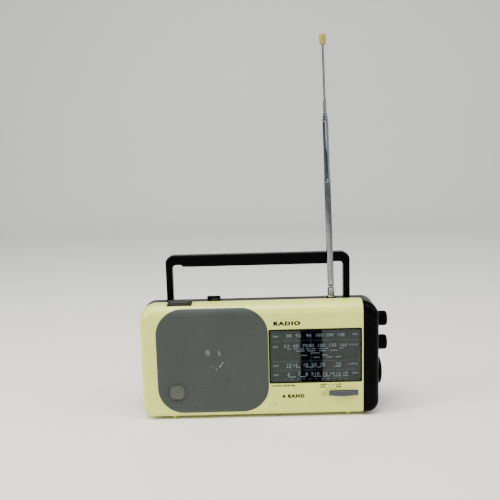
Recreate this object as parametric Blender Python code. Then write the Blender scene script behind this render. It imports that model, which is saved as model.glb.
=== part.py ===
"""Portable four-band transistor radio: cream front, black rear and end cap, folding handle, telescopic antenna.

Radio coordinates: x to the right along the front, y from the front face to the back, z up from the surface
that the feet stand on. All of it hangs from one empty that puts the middle of its footprint at the origin.
"""

import math

import bmesh
import bpy
from mathutils import Matrix, Vector

MM = 0.001

# Case
CASE_WIDTH = 248.4 * MM
CASE_BOTTOM = 2.8 * MM
CASE_TOP = 122.0 * MM
CASE_DEPTH = 64.0 * MM
TOP_CORNER = 17.0 * MM
BOTTOM_CORNER = 12.0 * MM
FRONT_FILLET_TOP = 12.0 * MM
FRONT_FILLET_SIDE = 8.0 * MM
FRONT_FILLET_BOTTOM = 5.5 * MM
FRONT_WALL = 3.0 * MM
REAR_WALL = 2.4 * MM
FRONT_DEPTH = 21.4 * MM
CAP_SEAM = 107.2 * MM
SEAM = 0.3 * MM
ROOF_DEPTH = 35.0 * MM
SLOPE_END_HEIGHT = 92.0 * MM
SLOPE_TOP_ROUNDING = 3.0 * MM
SLOPE_FOOT_ROUNDING = 8.0 * MM
BACK_BOTTOM_ROUNDING = 5.0 * MM
FOOT_X = 91.7 * MM
FRONT_FOOT_Y = 7.6 * MM
REAR_FOOT_Y = 55.0 * MM
FOOT_RADIUS = 2.6 * MM
REAR_FOOT_RADIUS = 3.9 * MM
SCREWS = ((-112 * MM, 60 * MM), (115.5 * MM, 60 * MM), (-114 * MM, 14 * MM), (115.5 * MM, 16 * MM))
SCREW_HEAD = 3.0 * MM
SCREW_SHANK = 1.5 * MM
SCREW_LENGTH = 12.0 * MM
JACK_Y = 29.0 * MM
JACK_LENGTH = 14.0 * MM
EARPHONE_Z = 78.0 * MM
EARPHONE_RADIUS = 3.2 * MM
EARPHONE_BORE = 1.8 * MM
DC_Z = 60.0 * MM
DC_RADIUS = 4.2 * MM
DC_BORE = 2.8 * MM

# Speaker and its grille
GRILLE_LEFT = -107.1 * MM
GRILLE_RIGHT = 8.5 * MM
GRILLE_BOTTOM = 7.9 * MM
GRILLE_TOP = 118.4 * MM
GRILLE_CORNER = 27.0 * MM
GRILLE_SHEET = 1.0 * MM
GRILLE_LEDGE = 6.0 * MM
SOUND_HOLE_TOP = 106.0 * MM
SOUND_HOLE_CORNER = 20.0 * MM
CLOTH_TOP = 108.0 * MM
CLOTH_CORNER = 22.0 * MM
CLOTH_SHEET = 0.7 * MM
SPEAKER_X = -49.3 * MM
SPEAKER_Z = 60.0 * MM
SPEAKER_RADIUS = 46.0 * MM
SPEAKER_Y = 4.6 * MM
MAGNET_RADIUS = 21.0 * MM
MAGNET_START = 15.3 * MM
MAGNET_LENGTH = 11.6 * MM

# Dial
WINDOW_LEFT = 9.6 * MM
WINDOW_RIGHT = 105.4 * MM
WINDOW_BOTTOM = 37.7 * MM
WINDOW_TOP = 95.1 * MM
WINDOW_SHEET = 1.6 * MM
WINDOW_LEDGE = 2.5 * MM
WINDOW_CORNER = 1.2 * MM
POINTER_X = 53.4 * MM
POINTER_Y = 3.9 * MM
POINTER_WIDTH = 1.0 * MM
POINTER_BOTTOM = 43.0 * MM
POINTER_TOP = 98.5 * MM
POINTER_SLIDER_WIDTH = 8.0 * MM
POINTER_SLIDER_HEIGHT = 3.0 * MM

# Band switch and power button
SWITCH_SLOT_LEFT = 63.4 * MM
SWITCH_SLOT_RIGHT = 102.2 * MM
SWITCH_Z = 25.6 * MM
SWITCH_SLOT_HEIGHT = 6.4 * MM
SWITCH_SLOT_DEPTH = 1.8 * MM
SWITCH_KNOB_WIDTH = 30.0 * MM
SWITCH_KNOB_RIGHT = 101.5 * MM
SWITCH_TRAVEL = 7.8 * MM
SWITCH_PROUD = 3.2 * MM
SWITCH_STEM_WIDTH = 4.0 * MM
SWITCH_STEM_HEIGHT = 3.0 * MM
SWITCH_BODY_LOW = (66.0 * MM, 7.8 * MM, 20.0 * MM)
SWITCH_BODY_HIGH = (100.0 * MM, 16.0 * MM, 31.0 * MM)
BUTTON_LEFT = -94.6 * MM
BUTTON_RIGHT = -70.6 * MM
BUTTON_FRONT = 7.6 * MM
BUTTON_BACK = 21.0 * MM
BUTTON_TOP = 125.0 * MM
BUTTON_DROP = 1.5 * MM
BUTTON_MARGIN = 1.0 * MM
POWER_SWITCH_FRONT = 10.7 * MM
POWER_SWITCH_BOTTOM = 107.0 * MM

# Knobs on the right end, all on axes along x
KNOB_Y = 22.0 * MM
VOLUME_Z = 99.3 * MM
TONE_Z = 73.4 * MM
TUNING_Z = 42.9 * MM
SMALL_KNOB_RADIUS = 7.9 * MM
SMALL_KNOB_END = 135.4 * MM
TUNING_KNOB_RADIUS = 14.6 * MM
TUNING_KNOB_END = 129.6 * MM
TUNING_KNOB_RIM = 1.4 * MM
SHAFT_RADIUS = 3.0 * MM
SHAFT_FIT = 0.2 * MM
KNOB_FACE = 2.0 * MM
KNOB_FOOT = 0.8 * MM
KNOB_CROWN = 2.4 * MM
KNOB_CROWN_EDGE = 0.7 * MM
KNOB_STANDOFF = 0.5 * MM
POT_START = 113.0 * MM
POT_RADIUS = 8.0 * MM
TUNING_SHAFT_START = 85.0 * MM
KNOBS = (("volume", VOLUME_Z), ("tone", TONE_Z), ("tuning", TUNING_Z))

# Handle
HANDLE_OUTER = 98.9 * MM
HANDLE_TOP = 168.4 * MM
HANDLE_LEG = 7.2 * MM
HANDLE_BAR = 12.6 * MM
HANDLE_DEPTH = 11.0 * MM
HANDLE_Y = 45.0 * MM
HANDLE_OUTER_CORNER = 11.0 * MM
HANDLE_INNER_CORNER = 5.0 * MM
HANDLE_EDGE = 1.6 * MM
PIVOT_Z = 106.0 * MM
PIVOT_OVERHANG = 4.0 * MM
PIN_RADIUS = 2.0 * MM
PIN_HEAD = 3.2 * MM
PIN_START = 90.0 * MM
PIN_LENGTH = 13.0 * MM
RECESS_HALF = 100.3 * MM
RECESS_FRONT = 37.0 * MM
RECESS_BOTTOM = 42.8 * MM
RECESS_CORNER = 6.0 * MM

# Antenna
ANTENNA_X = 77.1 * MM
ANTENNA_Y = 28.0 * MM
ANTENNA_HINGE_Z = 128.5 * MM
ANTENNA_LEAN = math.radians(1.45)
ANTENNA_STUD_RADIUS = 2.5 * MM
FORK_RADIUS = 3.8 * MM
FORK_SLOT = 2.8 * MM
TONGUE_SHEET = 2.2 * MM
HINGE_PIN_RADIUS = 1.1 * MM
TUBE_WALL = 0.3 * MM
TUBE_RADII = (3.45 * MM, 3.05 * MM, 2.6 * MM, 2.15 * MM, 1.7 * MM)
TUBE_STARTS = (6.0 * MM, 74.0 * MM, 85.0 * MM, 92.0 * MM, 112.0 * MM)
TUBE_ENDS = (118.5 * MM, 180.5 * MM, 183.0 * MM, 185.5 * MM, 200.5 * MM)
ROD_RADIUS = 1.2 * MM
ROD_START = 160.0 * MM
ROD_END = 252.8 * MM
TIP_RADIUS = 3.4 * MM
TIP_LENGTH = 11.6 * MM
TIP_GRIP = 5.0 * MM
CLIP_LEFT = -54.0 * MM
CLIP_RIGHT = -40.4 * MM
CLIP_TOP = 127.4 * MM
CLIP_REAR_TOP = 125.0 * MM
CLIP_CHANNEL = 7.8 * MM
CLIP_WALL = 1.6 * MM
CLIP_FLOOR = 1.2 * MM
CLIP_WINDOW_LEFT = CLIP_LEFT + 4.4 * MM
CLIP_WINDOW_RIGHT = CLIP_RIGHT - 1.2 * MM
CLIP_WINDOW_HEIGHT = 1.4 * MM

# Batteries: four C cells end to end
CELL_RADIUS = 13.0 * MM
CELL_PITCH = 50.0 * MM
CELL_LENGTH = 49.6 * MM
CELL_Y = 48.2 * MM
CELL_Z = 20.9 * MM
CELL_COUNT = 4
TRAY_LEFT = -107.0 * MM
TRAY_RIGHT = 104.0 * MM
TRAY_WALL = 1.5 * MM
TRAY_LOW = (TRAY_LEFT, 33.0 * MM, 6.0 * MM)
TRAY_HIGH = (TRAY_RIGHT, 60.6 * MM, 35.9 * MM)
CONTACT_REACH = 7.0 * MM
SPRING_TURNS = 3
SPRING_WIRE = 0.5 * MM
DOOR_LEFT = -104.0 * MM
DOOR_RIGHT = 101.0 * MM
DOOR_BOTTOM = 9.0 * MM
DOOR_TOP = 34.5 * MM
GROOVE_HALF = 12.0 * MM

# Works behind the dial
SCALE_FRONT = 6.6 * MM
SCALE_SHEET = 1.0 * MM
DRUM_X = 60.0 * MM
DRUM_Z = 62.0 * MM
DRUM_RADIUS = 19.1 * MM
CORD_Y = 9.7 * MM
CORD_RADIUS = 0.4 * MM
PULLEY_RADIUS = 4.0 * MM
PULLEY_Z = 95.0 * MM
PULLEY_XS = (14.0 * MM, 100.0 * MM)
BOARD_FRONT = 27.0 * MM
BOARD_SHEET = 1.6 * MM
BOARD_LOW = (14.0 * MM, BOARD_FRONT, 38.0 * MM)
BOARD_HIGH = (103.0 * MM, BOARD_FRONT + BOARD_SHEET, 104.0 * MM)
ROD_Y = 26.0 * MM
ROD_Z = 111.0 * MM
FERRITE_RADIUS = 5.0 * MM
FERRITE_LENGTH = 120.0 * MM
FERRITE_LEFT = -60.0 * MM

GAP = 0.3 * MM
FAR = 200.0 * MM

FRONT_PROUD = SWITCH_PROUD
SIDE_PROUD = SMALL_KNOB_END - CASE_WIDTH / 2
ROOT_SHIFT = Vector((-SIDE_PROUD / 2, -(CASE_DEPTH - FRONT_PROUD) / 2, 0))

ALONG_X = Matrix.Rotation(math.pi / 2, 4, "Y")
ALONG_Y = Matrix.Rotation(-math.pi / 2, 4, "X")
ALONG_Z = Matrix.Identity(4)
INTO_BACK = Matrix.Rotation(math.pi / 2, 4, "X")


def clear_scene():
    for old in list(bpy.data.objects):
        bpy.data.objects.remove(old, do_unlink=True)


def new_collection(name):
    collection = bpy.data.collections.new(name)
    bpy.context.scene.collection.children.link(collection)
    return collection


def linear(value):
    """One sRGB channel from 0 to 255 as a linear value."""
    level = value / 255
    return level / 12.92 if level <= 0.04045 else ((level + 0.055) / 1.055) ** 2.4


def material(name, color, roughness=0.5, metallic=0.0, alpha=1.0):
    made = bpy.data.materials.new(name)
    made.use_nodes = True
    shader = made.node_tree.nodes["Principled BSDF"]
    shader.inputs["Base Color"].default_value = (*[linear(c) for c in color], 1)
    shader.inputs["Roughness"].default_value = roughness
    shader.inputs["Metallic"].default_value = metallic
    shader.inputs["Alpha"].default_value = alpha
    return made


def add_object(name, bm, origin=(0, 0, 0)):
    """A new object from a bmesh in radio coordinates, with its origin at the given point."""
    origin = Vector(origin)
    bmesh.ops.translate(bm, verts=bm.verts, vec=-origin)
    bmesh.ops.recalc_face_normals(bm, faces=bm.faces)
    mesh = bpy.data.meshes.new(name)
    bm.to_mesh(mesh)
    bm.free()
    made = bpy.data.objects.new(name, mesh)
    made.location = origin
    made.parent = ROOT
    return made


def part(name, bm, finish, origin=(0, 0, 0), smooth=True):
    made = add_object(name, bm, origin)
    made.data.materials.append(finish)
    if smooth:
        made.data.shade_smooth()
        made.data.set_sharp_from_angle(angle=math.radians(35))
    PARTS.objects.link(made)
    return made


def cutter(name, bm):
    made = add_object(name, bm)
    made.display_type = "WIRE"
    made.hide_render = True
    CUTTERS.objects.link(made)
    return made


def boolean(target, tool, operation):
    change = target.modifiers.new(f"{operation.lower()}_{tool.name}", "BOOLEAN")
    change.operation = operation
    change.solver = "EXACT"
    change.object = tool


def cut(target, *tools):
    for tool in tools:
        boolean(target, tool, "DIFFERENCE")


def keep_inside(target, tool):
    boolean(target, tool, "INTERSECT")


def unite(target, tool):
    boolean(target, tool, "UNION")


def box(low, high):
    low = Vector(low)
    high = Vector(high)
    bm = bmesh.new()
    size = high - low
    place = Matrix.Translation((low + high) / 2) @ Matrix.Diagonal((*size, 1))
    bmesh.ops.create_cube(bm, size=1, matrix=place)
    return bm


def rounded_box(low, high, radius, segments=3):
    bm = box(low, high)
    bmesh.ops.bevel(bm, geom=bm.edges[:], offset=radius, segments=segments, affect="EDGES", profile=0.5)
    return bm


def disc(start, length, radius, turn=ALONG_Z, sides=20):
    """A cylinder that starts at a point and runs along the turned z axis."""
    bm = bmesh.new()
    place = Matrix.Translation(Vector(start)) @ turn @ Matrix.Translation((0, 0, length / 2))
    bmesh.ops.create_cone(
        bm, cap_ends=True, segments=sides, radius1=radius, radius2=radius, depth=length, matrix=place
    )
    return bm


def turned(profile, start, turn=ALONG_Z, sides=20):
    """A turned solid: (radius, height) points spun about the turned z axis, closed back to the first point."""
    bm = bmesh.new()
    points = [bm.verts.new((radius, 0, height)) for radius, height in profile]
    edges = [bm.edges.new((a, b)) for a, b in zip(points, points[1:] + points[:1])]
    bmesh.ops.spin(
        bm, geom=points + edges, axis=(0, 0, 1), cent=(0, 0, 0), angle=math.tau, steps=sides, use_merge=True
    )
    bmesh.ops.remove_doubles(bm, verts=bm.verts, dist=0.001 * MM)
    on_axis = [e for e in bm.edges if not e.link_faces]
    bmesh.ops.delete(bm, geom=on_axis, context="EDGES")
    bmesh.ops.transform(bm, matrix=Matrix.Translation(Vector(start)) @ turn, verts=bm.verts)
    return bm


def rounded_outline(corners, steps=6):
    """A closed outline from (u, v, radius) corners in order, with each round corner as an arc."""
    outline = []
    for index, (u, v, radius) in enumerate(corners):
        here = Vector((u, v))
        if radius == 0:
            outline.append(here)
            continue
        before = (Vector(corners[index - 1][:2]) - here).normalized()
        after = (Vector(corners[(index + 1) % len(corners)][:2]) - here).normalized()
        half = before.angle(after) / 2
        center = here + (before + after).normalized() * radius / math.sin(half)
        first = here + before * radius / math.tan(half) - center
        last = here + after * radius / math.tan(half) - center
        sweep = first.angle_signed(last)
        for step in range(steps + 1):
            turn = Matrix.Rotation(-sweep * step / steps, 2)
            outline.append(center + turn @ first)
    return outline


def extruded(outline, start, end, plane):
    """A prism from an outline: plane xz runs it along y, plane yz along x, plane xy along z."""
    bm = bmesh.new()
    spots = {
        "xz": lambda u, v, w: (u, w, v),
        "yz": lambda u, v, w: (w, u, v),
        "xy": lambda u, v, w: (u, v, w),
    }[plane]
    face = bm.faces.new([bm.verts.new(spots(u, v, start)) for u, v in outline])
    grown = bmesh.ops.extrude_face_region(bm, geom=[face])
    moved = [item for item in grown["geom"] if isinstance(item, bmesh.types.BMVert)]
    bmesh.ops.translate(bm, verts=moved, vec=Vector(spots(0, 0, end - start)))
    return bm


def case_outline(inset=0.0, steps=6):
    """The case seen from the front, taken in by an inset."""
    half = CASE_WIDTH / 2 - inset
    top = max(TOP_CORNER - inset, MM)
    bottom = max(BOTTOM_CORNER - inset, MM)
    low = CASE_BOTTOM + inset
    high = CASE_TOP - inset
    corners = [(-half, low, bottom), (-half, high, top), (half, high, top), (half, low, bottom)]
    return rounded_outline(corners, steps)


def outward(outline, index):
    """The outward direction of an outline that runs clockwise, at one of its points."""
    before = outline[index] - outline[index - 1]
    after = outline[(index + 1) % len(outline)] - outline[index]
    along = before.normalized() + after.normalized()
    return Vector((-along.y, along.x)).normalized()


def case_body(inset, depth, steps=4):
    """The whole case as a solid with its rounded front edge, taken in by an inset on every side."""
    outline = case_outline(inset)
    bm = bmesh.new()
    rings = [[] for _ in range(steps + 2)]
    for index, point in enumerate(outline):
        out = outward(outline, index)
        up = max(out.y, 0) ** 2
        down = max(-out.y, 0) ** 2
        radius = FRONT_FILLET_SIDE * (1 - up - down) - inset
        radius += FRONT_FILLET_TOP * up + FRONT_FILLET_BOTTOM * down
        for step in range(steps + 1):
            angle = math.pi / 2 * step / steps
            spot = point - out * radius * (1 - math.sin(angle))
            height = inset + radius * (1 - math.cos(angle))
            rings[step].append(bm.verts.new((spot.x, height, spot.y)))
        rings[-1].append(bm.verts.new((point.x, depth, point.y)))
    for near, far in zip(rings, rings[1:]):
        for index in range(len(outline)):
            after = (index + 1) % len(outline)
            bm.faces.new((near[index], near[after], far[after], far[index]))
    bm.faces.new(rings[0])
    bm.faces.new(rings[-1])
    return bm


def side_profile(inset=0.0):
    """The case seen from its end: flat roof, sloping upper back, upright lower back."""
    corners = [
        (-FAR, CASE_BOTTOM + inset, 0),
        (-FAR, CASE_TOP - inset, 0),
        (ROOF_DEPTH - inset / 2, CASE_TOP - inset, SLOPE_TOP_ROUNDING),
        (CASE_DEPTH - inset, SLOPE_END_HEIGHT - inset / 2, SLOPE_FOOT_ROUNDING),
        (CASE_DEPTH - inset, CASE_BOTTOM + inset, BACK_BOTTOM_ROUNDING - inset),
    ]
    return rounded_outline(corners, 4)


def rectangle(left, right, bottom, top, radius, steps=6):
    corners = [(left, bottom, radius), (left, top, radius), (right, top, radius), (right, bottom, radius)]
    return rounded_outline(corners, steps)


def grille_outline(grow):
    return rectangle(
        GRILLE_LEFT - grow, GRILLE_RIGHT + grow, GRILLE_BOTTOM - grow, GRILLE_TOP + grow, GRILLE_CORNER + grow
    )


def window_outline(grow):
    corner = WINDOW_CORNER + max(grow, 0)
    return rectangle(
        WINDOW_LEFT - grow, WINDOW_RIGHT + grow, WINDOW_BOTTOM - grow, WINDOW_TOP + grow, corner, 2
    )


def make_front_case():
    case = part("front_case", case_body(0, FRONT_DEPTH), CREAM)
    cut(case, cutter("beyond_front", box((CAP_SEAM - SEAM / 2, -FAR, -FAR), (FAR, FAR, FAR))))
    cut(case, cutter("front_hollow", case_body(FRONT_WALL, FRONT_DEPTH + MM)))
    grille_seat = cutter("grille_seat", extruded(grille_outline(GAP), -MM, FRONT_DEPTH, "xz"))
    cut(grille_seat, cutter("behind_grille", case_body(GRILLE_SHEET + GAP, FRONT_DEPTH + MM)))
    cut(case, grille_seat)
    sound_hole = rectangle(
        GRILLE_LEFT + GRILLE_LEDGE,
        GRILLE_RIGHT - GRILLE_LEDGE,
        GRILLE_BOTTOM + GRILLE_LEDGE,
        SOUND_HOLE_TOP,
        SOUND_HOLE_CORNER,
    )
    cut(case, cutter("sound_hole", extruded(sound_hole, -MM, FRONT_WALL + MM, "xz")))
    cut(case, cutter("window_seat", extruded(window_outline(GAP), -MM, WINDOW_SHEET + GAP, "xz")))
    window_hole = extruded(window_outline(-WINDOW_LEDGE), -MM, FRONT_WALL + MM, "xz")
    cut(case, cutter("window_hole", window_hole))
    slot = rectangle(
        SWITCH_SLOT_LEFT,
        SWITCH_SLOT_RIGHT,
        SWITCH_Z - SWITCH_SLOT_HEIGHT / 2,
        SWITCH_Z + SWITCH_SLOT_HEIGHT / 2,
        MM,
        2,
    )
    cut(case, cutter("switch_slot", extruded(slot, -MM, SWITCH_SLOT_DEPTH, "xz")))
    middle = SWITCH_KNOB_RIGHT - SWITCH_KNOB_WIDTH / 2
    reach = SWITCH_STEM_WIDTH / 2 + MM
    rise = SWITCH_STEM_HEIGHT / 2 + MM / 2
    stem_low = (middle - reach - SWITCH_TRAVEL, MM, SWITCH_Z - rise)
    stem_high = (middle + reach, FRONT_WALL + MM, SWITCH_Z + rise)
    cut(case, cutter("switch_stem_slot", box(stem_low, stem_high)))
    hole_low = (BUTTON_LEFT - BUTTON_MARGIN, BUTTON_FRONT - BUTTON_MARGIN / 2, CASE_TOP - 2 * FRONT_WALL - MM)
    hole_high = (BUTTON_RIGHT + BUTTON_MARGIN, FRONT_DEPTH + MM, FAR)
    cut(case, cutter("button_hole", box(hole_low, hole_high)))
    for side, name in ((-1, "left"), (1, "right")):
        foot = disc((side * FOOT_X, FRONT_FOOT_Y, 0), CASE_BOTTOM + 2 * MM, FOOT_RADIUS, sides=12)
        unite(case, cutter(f"front_foot_{name}", foot))


def make_rear_case():
    start = FRONT_DEPTH + SEAM
    case = part("rear_case", extruded(case_outline(), start, CASE_DEPTH, "xz"), BLACK)
    keep_inside(case, cutter("rear_profile", extruded(side_profile(), -FAR, FAR, "yz")))
    cut(case, cutter("beyond_rear", box((CAP_SEAM - SEAM / 2, -FAR, -FAR), (FAR, FAR, FAR))))
    hollow = cutter("rear_hollow", extruded(case_outline(REAR_WALL), start - MM, CASE_DEPTH, "xz"))
    keep_inside(hollow, cutter("hollow_profile", extruded(side_profile(REAR_WALL), -FAR, FAR, "yz")))
    kept = box(
        (-RECESS_HALF - REAR_WALL, RECESS_FRONT - REAR_WALL, RECESS_BOTTOM - REAR_WALL),
        (RECESS_HALF + REAR_WALL, FAR, FAR),
    )
    cut(hollow, cutter("recess_walls", kept))
    cut(case, hollow)
    recess = rectangle(-RECESS_HALF, RECESS_HALF, RECESS_BOTTOM, FAR, RECESS_CORNER, 3)
    cut(case, cutter("handle_recess", extruded(recess, RECESS_FRONT, FAR, "xz")))
    door = rectangle(DOOR_LEFT - GAP, DOOR_RIGHT + GAP, DOOR_BOTTOM - GAP, DOOR_TOP + GAP, 2 * MM, 2)
    cut(case, cutter("door_hole", extruded(door, CASE_DEPTH - 2 * REAR_WALL, FAR, "xz")))
    stud_start = (ANTENNA_X, ANTENNA_Y, CASE_TOP - 2 * REAR_WALL)
    stud = disc(stud_start, 3 * REAR_WALL, ANTENNA_STUD_RADIUS + GAP, sides=12)
    cut(case, cutter("antenna_hole", stud))
    pin_reach = RECESS_HALF + 2 * REAR_WALL
    pin_hole = disc((-pin_reach, HANDLE_Y, PIVOT_Z), 2 * pin_reach, PIN_RADIUS + GAP, ALONG_X, 12)
    cut(case, cutter("pin_holes", pin_hole))
    for name, height, radius in (("earphone", EARPHONE_Z, EARPHONE_RADIUS), ("dc", DC_Z, DC_RADIUS)):
        hole = disc((-CASE_WIDTH / 2 - MM, JACK_Y, height), 2 * REAR_WALL, radius + GAP, ALONG_X, 12)
        cut(case, cutter(f"{name}_hole", hole))
    for index, (screw_x, screw_z) in enumerate(SCREWS):
        if screw_x < CAP_SEAM:
            cut(case, cutter(f"rear_screw_hole_{index}", screw_seat(screw_x, screw_z)))
    for side, name in ((-1, "left"), (1, "right")):
        foot = disc((side * FOOT_X, REAR_FOOT_Y, 0), CASE_BOTTOM + MM, REAR_FOOT_RADIUS, sides=12)
        unite(case, cutter(f"rear_foot_{name}", foot))


def screw_seat(x, z):
    """A counterbored screw hole in the upright lower back."""
    wide = SCREW_HEAD + 0.4 * MM
    narrow = SCREW_SHANK + 0.4 * MM
    shoulder = MM + 1.3 * MM
    end = 2.5 * REAR_WALL
    profile = [(0, -MM), (wide, -MM), (wide, shoulder), (narrow, shoulder), (narrow, end), (0, end)]
    return turned(profile, (x, CASE_DEPTH + MM, z), INTO_BACK, 12)


def make_end_cap():
    cap = part("right_end_cap", case_body(0, CASE_DEPTH), BLACK)
    keep_inside(cap, cutter("cap_profile", extruded(side_profile(), -FAR, FAR, "yz")))
    cut(cap, cutter("before_cap", box((-FAR, -FAR, -FAR), (CAP_SEAM + SEAM / 2, FAR, FAR))))
    hollow = cutter("cap_hollow", case_body(REAR_WALL, CASE_DEPTH))
    keep_inside(hollow, cutter("cap_hollow_profile", extruded(side_profile(REAR_WALL), -FAR, FAR, "yz")))
    cut(cap, hollow)
    for name, height in KNOBS:
        start = (CASE_WIDTH / 2 - 2 * REAR_WALL, KNOB_Y, height)
        hole = disc(start, 3 * REAR_WALL, SHAFT_RADIUS + GAP, ALONG_X, 16)
        cut(cap, cutter(f"{name}_hole", hole))
    for index, (screw_x, screw_z) in enumerate(SCREWS):
        if screw_x > CAP_SEAM:
            cut(cap, cutter(f"cap_screw_hole_{index}", screw_seat(screw_x, screw_z)))


def make_battery_door():
    outline = rectangle(DOOR_LEFT, DOOR_RIGHT, DOOR_BOTTOM, DOOR_TOP, 1.7 * MM, 2)
    door = part("battery_door", extruded(outline, CASE_DEPTH - REAR_WALL, CASE_DEPTH, "xz"), BLACK)
    groove_low = (-GROOVE_HALF, CASE_DEPTH - REAR_WALL / 3, DOOR_TOP - 5 * MM)
    groove_high = (GROOVE_HALF, CASE_DEPTH + MM, DOOR_TOP - 2.5 * MM)
    cut(door, cutter("thumb_groove", box(groove_low, groove_high)))


def make_battery_tray():
    tray = part("battery_tray", box(TRAY_LOW, TRAY_HIGH), GREY_PLASTIC)
    wall = Vector((TRAY_WALL, TRAY_WALL, TRAY_WALL))
    inner_high = Vector(TRAY_HIGH) - wall
    inner_high.y = FAR
    cut(tray, cutter("tray_hollow", box(Vector(TRAY_LOW) + wall, inner_high)))


def make_grille():
    grille = part("speaker_grille", case_body(0, FRONT_DEPTH), GRILLE_METAL)
    cut(grille, cutter("grille_back", case_body(GRILLE_SHEET, FRONT_DEPTH + MM)))
    keep_inside(grille, cutter("grille_edge", extruded(grille_outline(0), -MM, FRONT_FILLET_TOP + MM, "xz")))
    edge = 2 * MM
    cloth = rectangle(GRILLE_LEFT + edge, GRILLE_RIGHT - edge, GRILLE_BOTTOM + edge, CLOTH_TOP, CLOTH_CORNER)
    cloth_front = FRONT_WALL + GAP
    part("grille_cloth", extruded(cloth, cloth_front, cloth_front + CLOTH_SHEET, "xz"), BLACK_CLOTH)


def make_speaker():
    start = (SPEAKER_X, SPEAKER_Y, SPEAKER_Z)
    rim = SPEAKER_RADIUS
    frame = [
        (rim, 0), (rim, 1.2 * MM), (rim - 4 * MM, 1.6 * MM), (24 * MM, 15 * MM), (20 * MM, 15 * MM),
        (20 * MM, 13.8 * MM), (23.2 * MM, 13.8 * MM), (rim - 6 * MM, 0.6 * MM), (rim - 6 * MM, 0),
    ]
    part("speaker_frame", turned(frame, start, ALONG_Y, 28), STEEL)
    cone = [
        (rim - 7 * MM, 0), (rim - 7 * MM, 0.5 * MM), (9 * MM, 11.5 * MM), (0, 11.5 * MM),
        (0, 10.5 * MM), (8.6 * MM, 10.7 * MM), (rim - 7.6 * MM, 0),
    ]
    part("speaker_cone", turned(cone, start, ALONG_Y, 28), PAPER)
    magnet_start = (SPEAKER_X, SPEAKER_Y + MAGNET_START, SPEAKER_Z)
    part("speaker_magnet", disc(magnet_start, MAGNET_LENGTH, MAGNET_RADIUS, ALONG_Y, 28), FERRITE)


def make_dial():
    window = extruded(window_outline(0), 0, WINDOW_SHEET, "xz")
    part("dial_window", window, SMOKED, smooth=False)
    scale_low = (WINDOW_LEFT - MM, SCALE_FRONT, WINDOW_BOTTOM - MM)
    scale_high = (WINDOW_RIGHT - 2 * MM, SCALE_FRONT + SCALE_SHEET, WINDOW_TOP + 1.5 * MM)
    part("dial_scale", box(scale_low, scale_high), DIAL_BLACK, smooth=False)
    thin = POINTER_WIDTH / 2
    front = POINTER_Y - thin
    needle = box((POINTER_X - thin, front, POINTER_BOTTOM), (POINTER_X + thin, POINTER_Y + thin, POINTER_TOP))
    origin = (POINTER_X, POINTER_Y, POINTER_TOP)
    pointer = part("dial_pointer", needle, POINTER_PAINT, origin, smooth=False)
    wide = POINTER_SLIDER_WIDTH / 2
    slider_low = (POINTER_X - wide, front, POINTER_TOP - thin)
    slider_high = (POINTER_X + wide, CORD_Y - CORD_RADIUS - GAP, POINTER_TOP + POINTER_SLIDER_HEIGHT)
    unite(pointer, cutter("pointer_slider", box(slider_low, slider_high)))


def cord_arc(x, z, radius, start, end, steps):
    """Points of the dial cord round a wheel, from one clock angle to another, in degrees from straight up."""
    points = []
    for step in range(steps + 1):
        angle = math.radians(start + (end - start) * step / steps)
        points.append((x + radius * math.sin(angle), CORD_Y, z + radius * math.cos(angle)))
    return points


def cord_route():
    """The dial cord's loop: over the pulleys, down to the tuning shaft, round the drum and back."""
    reach = PULLEY_RADIUS + CORD_RADIUS + GAP
    left, right = PULLEY_XS
    shaft_front = KNOB_Y - SHAFT_RADIUS - CORD_RADIUS - GAP
    route = cord_arc(right, PULLEY_Z, reach, 0, 90, 4)
    route.append((96 * MM, shaft_front, TUNING_Z + 2 * MM))
    route.append((94 * MM, shaft_front, TUNING_Z - 2 * MM))
    route += cord_arc(DRUM_X, DRUM_Z, DRUM_RADIUS + CORD_RADIUS + GAP, 120, 230, 8)
    route += cord_arc(left, PULLEY_Z, reach, -140, 0, 7)
    return route


def tube_mesh(name, route, radius, cyclic):
    """A round tube along a route, as a mesh with its caps welded."""
    curve = bpy.data.curves.new(name, "CURVE")
    curve.dimensions = "3D"
    curve.bevel_depth = radius
    curve.bevel_resolution = 1
    curve.use_fill_caps = not cyclic
    spline = curve.splines.new("POLY")
    spline.points.add(len(route) - 1)
    for point, spot in zip(spline.points, route):
        point.co = (*spot, 1)
    spline.use_cyclic_u = cyclic
    guide = bpy.data.objects.new(name, curve)
    bpy.context.scene.collection.objects.link(guide)
    bpy.context.view_layer.update()
    mesh = bpy.data.meshes.new_from_object(guide.evaluated_get(bpy.context.evaluated_depsgraph_get()))
    bm = bmesh.new()
    bm.from_mesh(mesh)
    bmesh.ops.remove_doubles(bm, verts=bm.verts, dist=0.01 * MM)
    bpy.data.objects.remove(guide, do_unlink=True)
    bpy.data.meshes.remove(mesh)
    return bm


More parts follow.
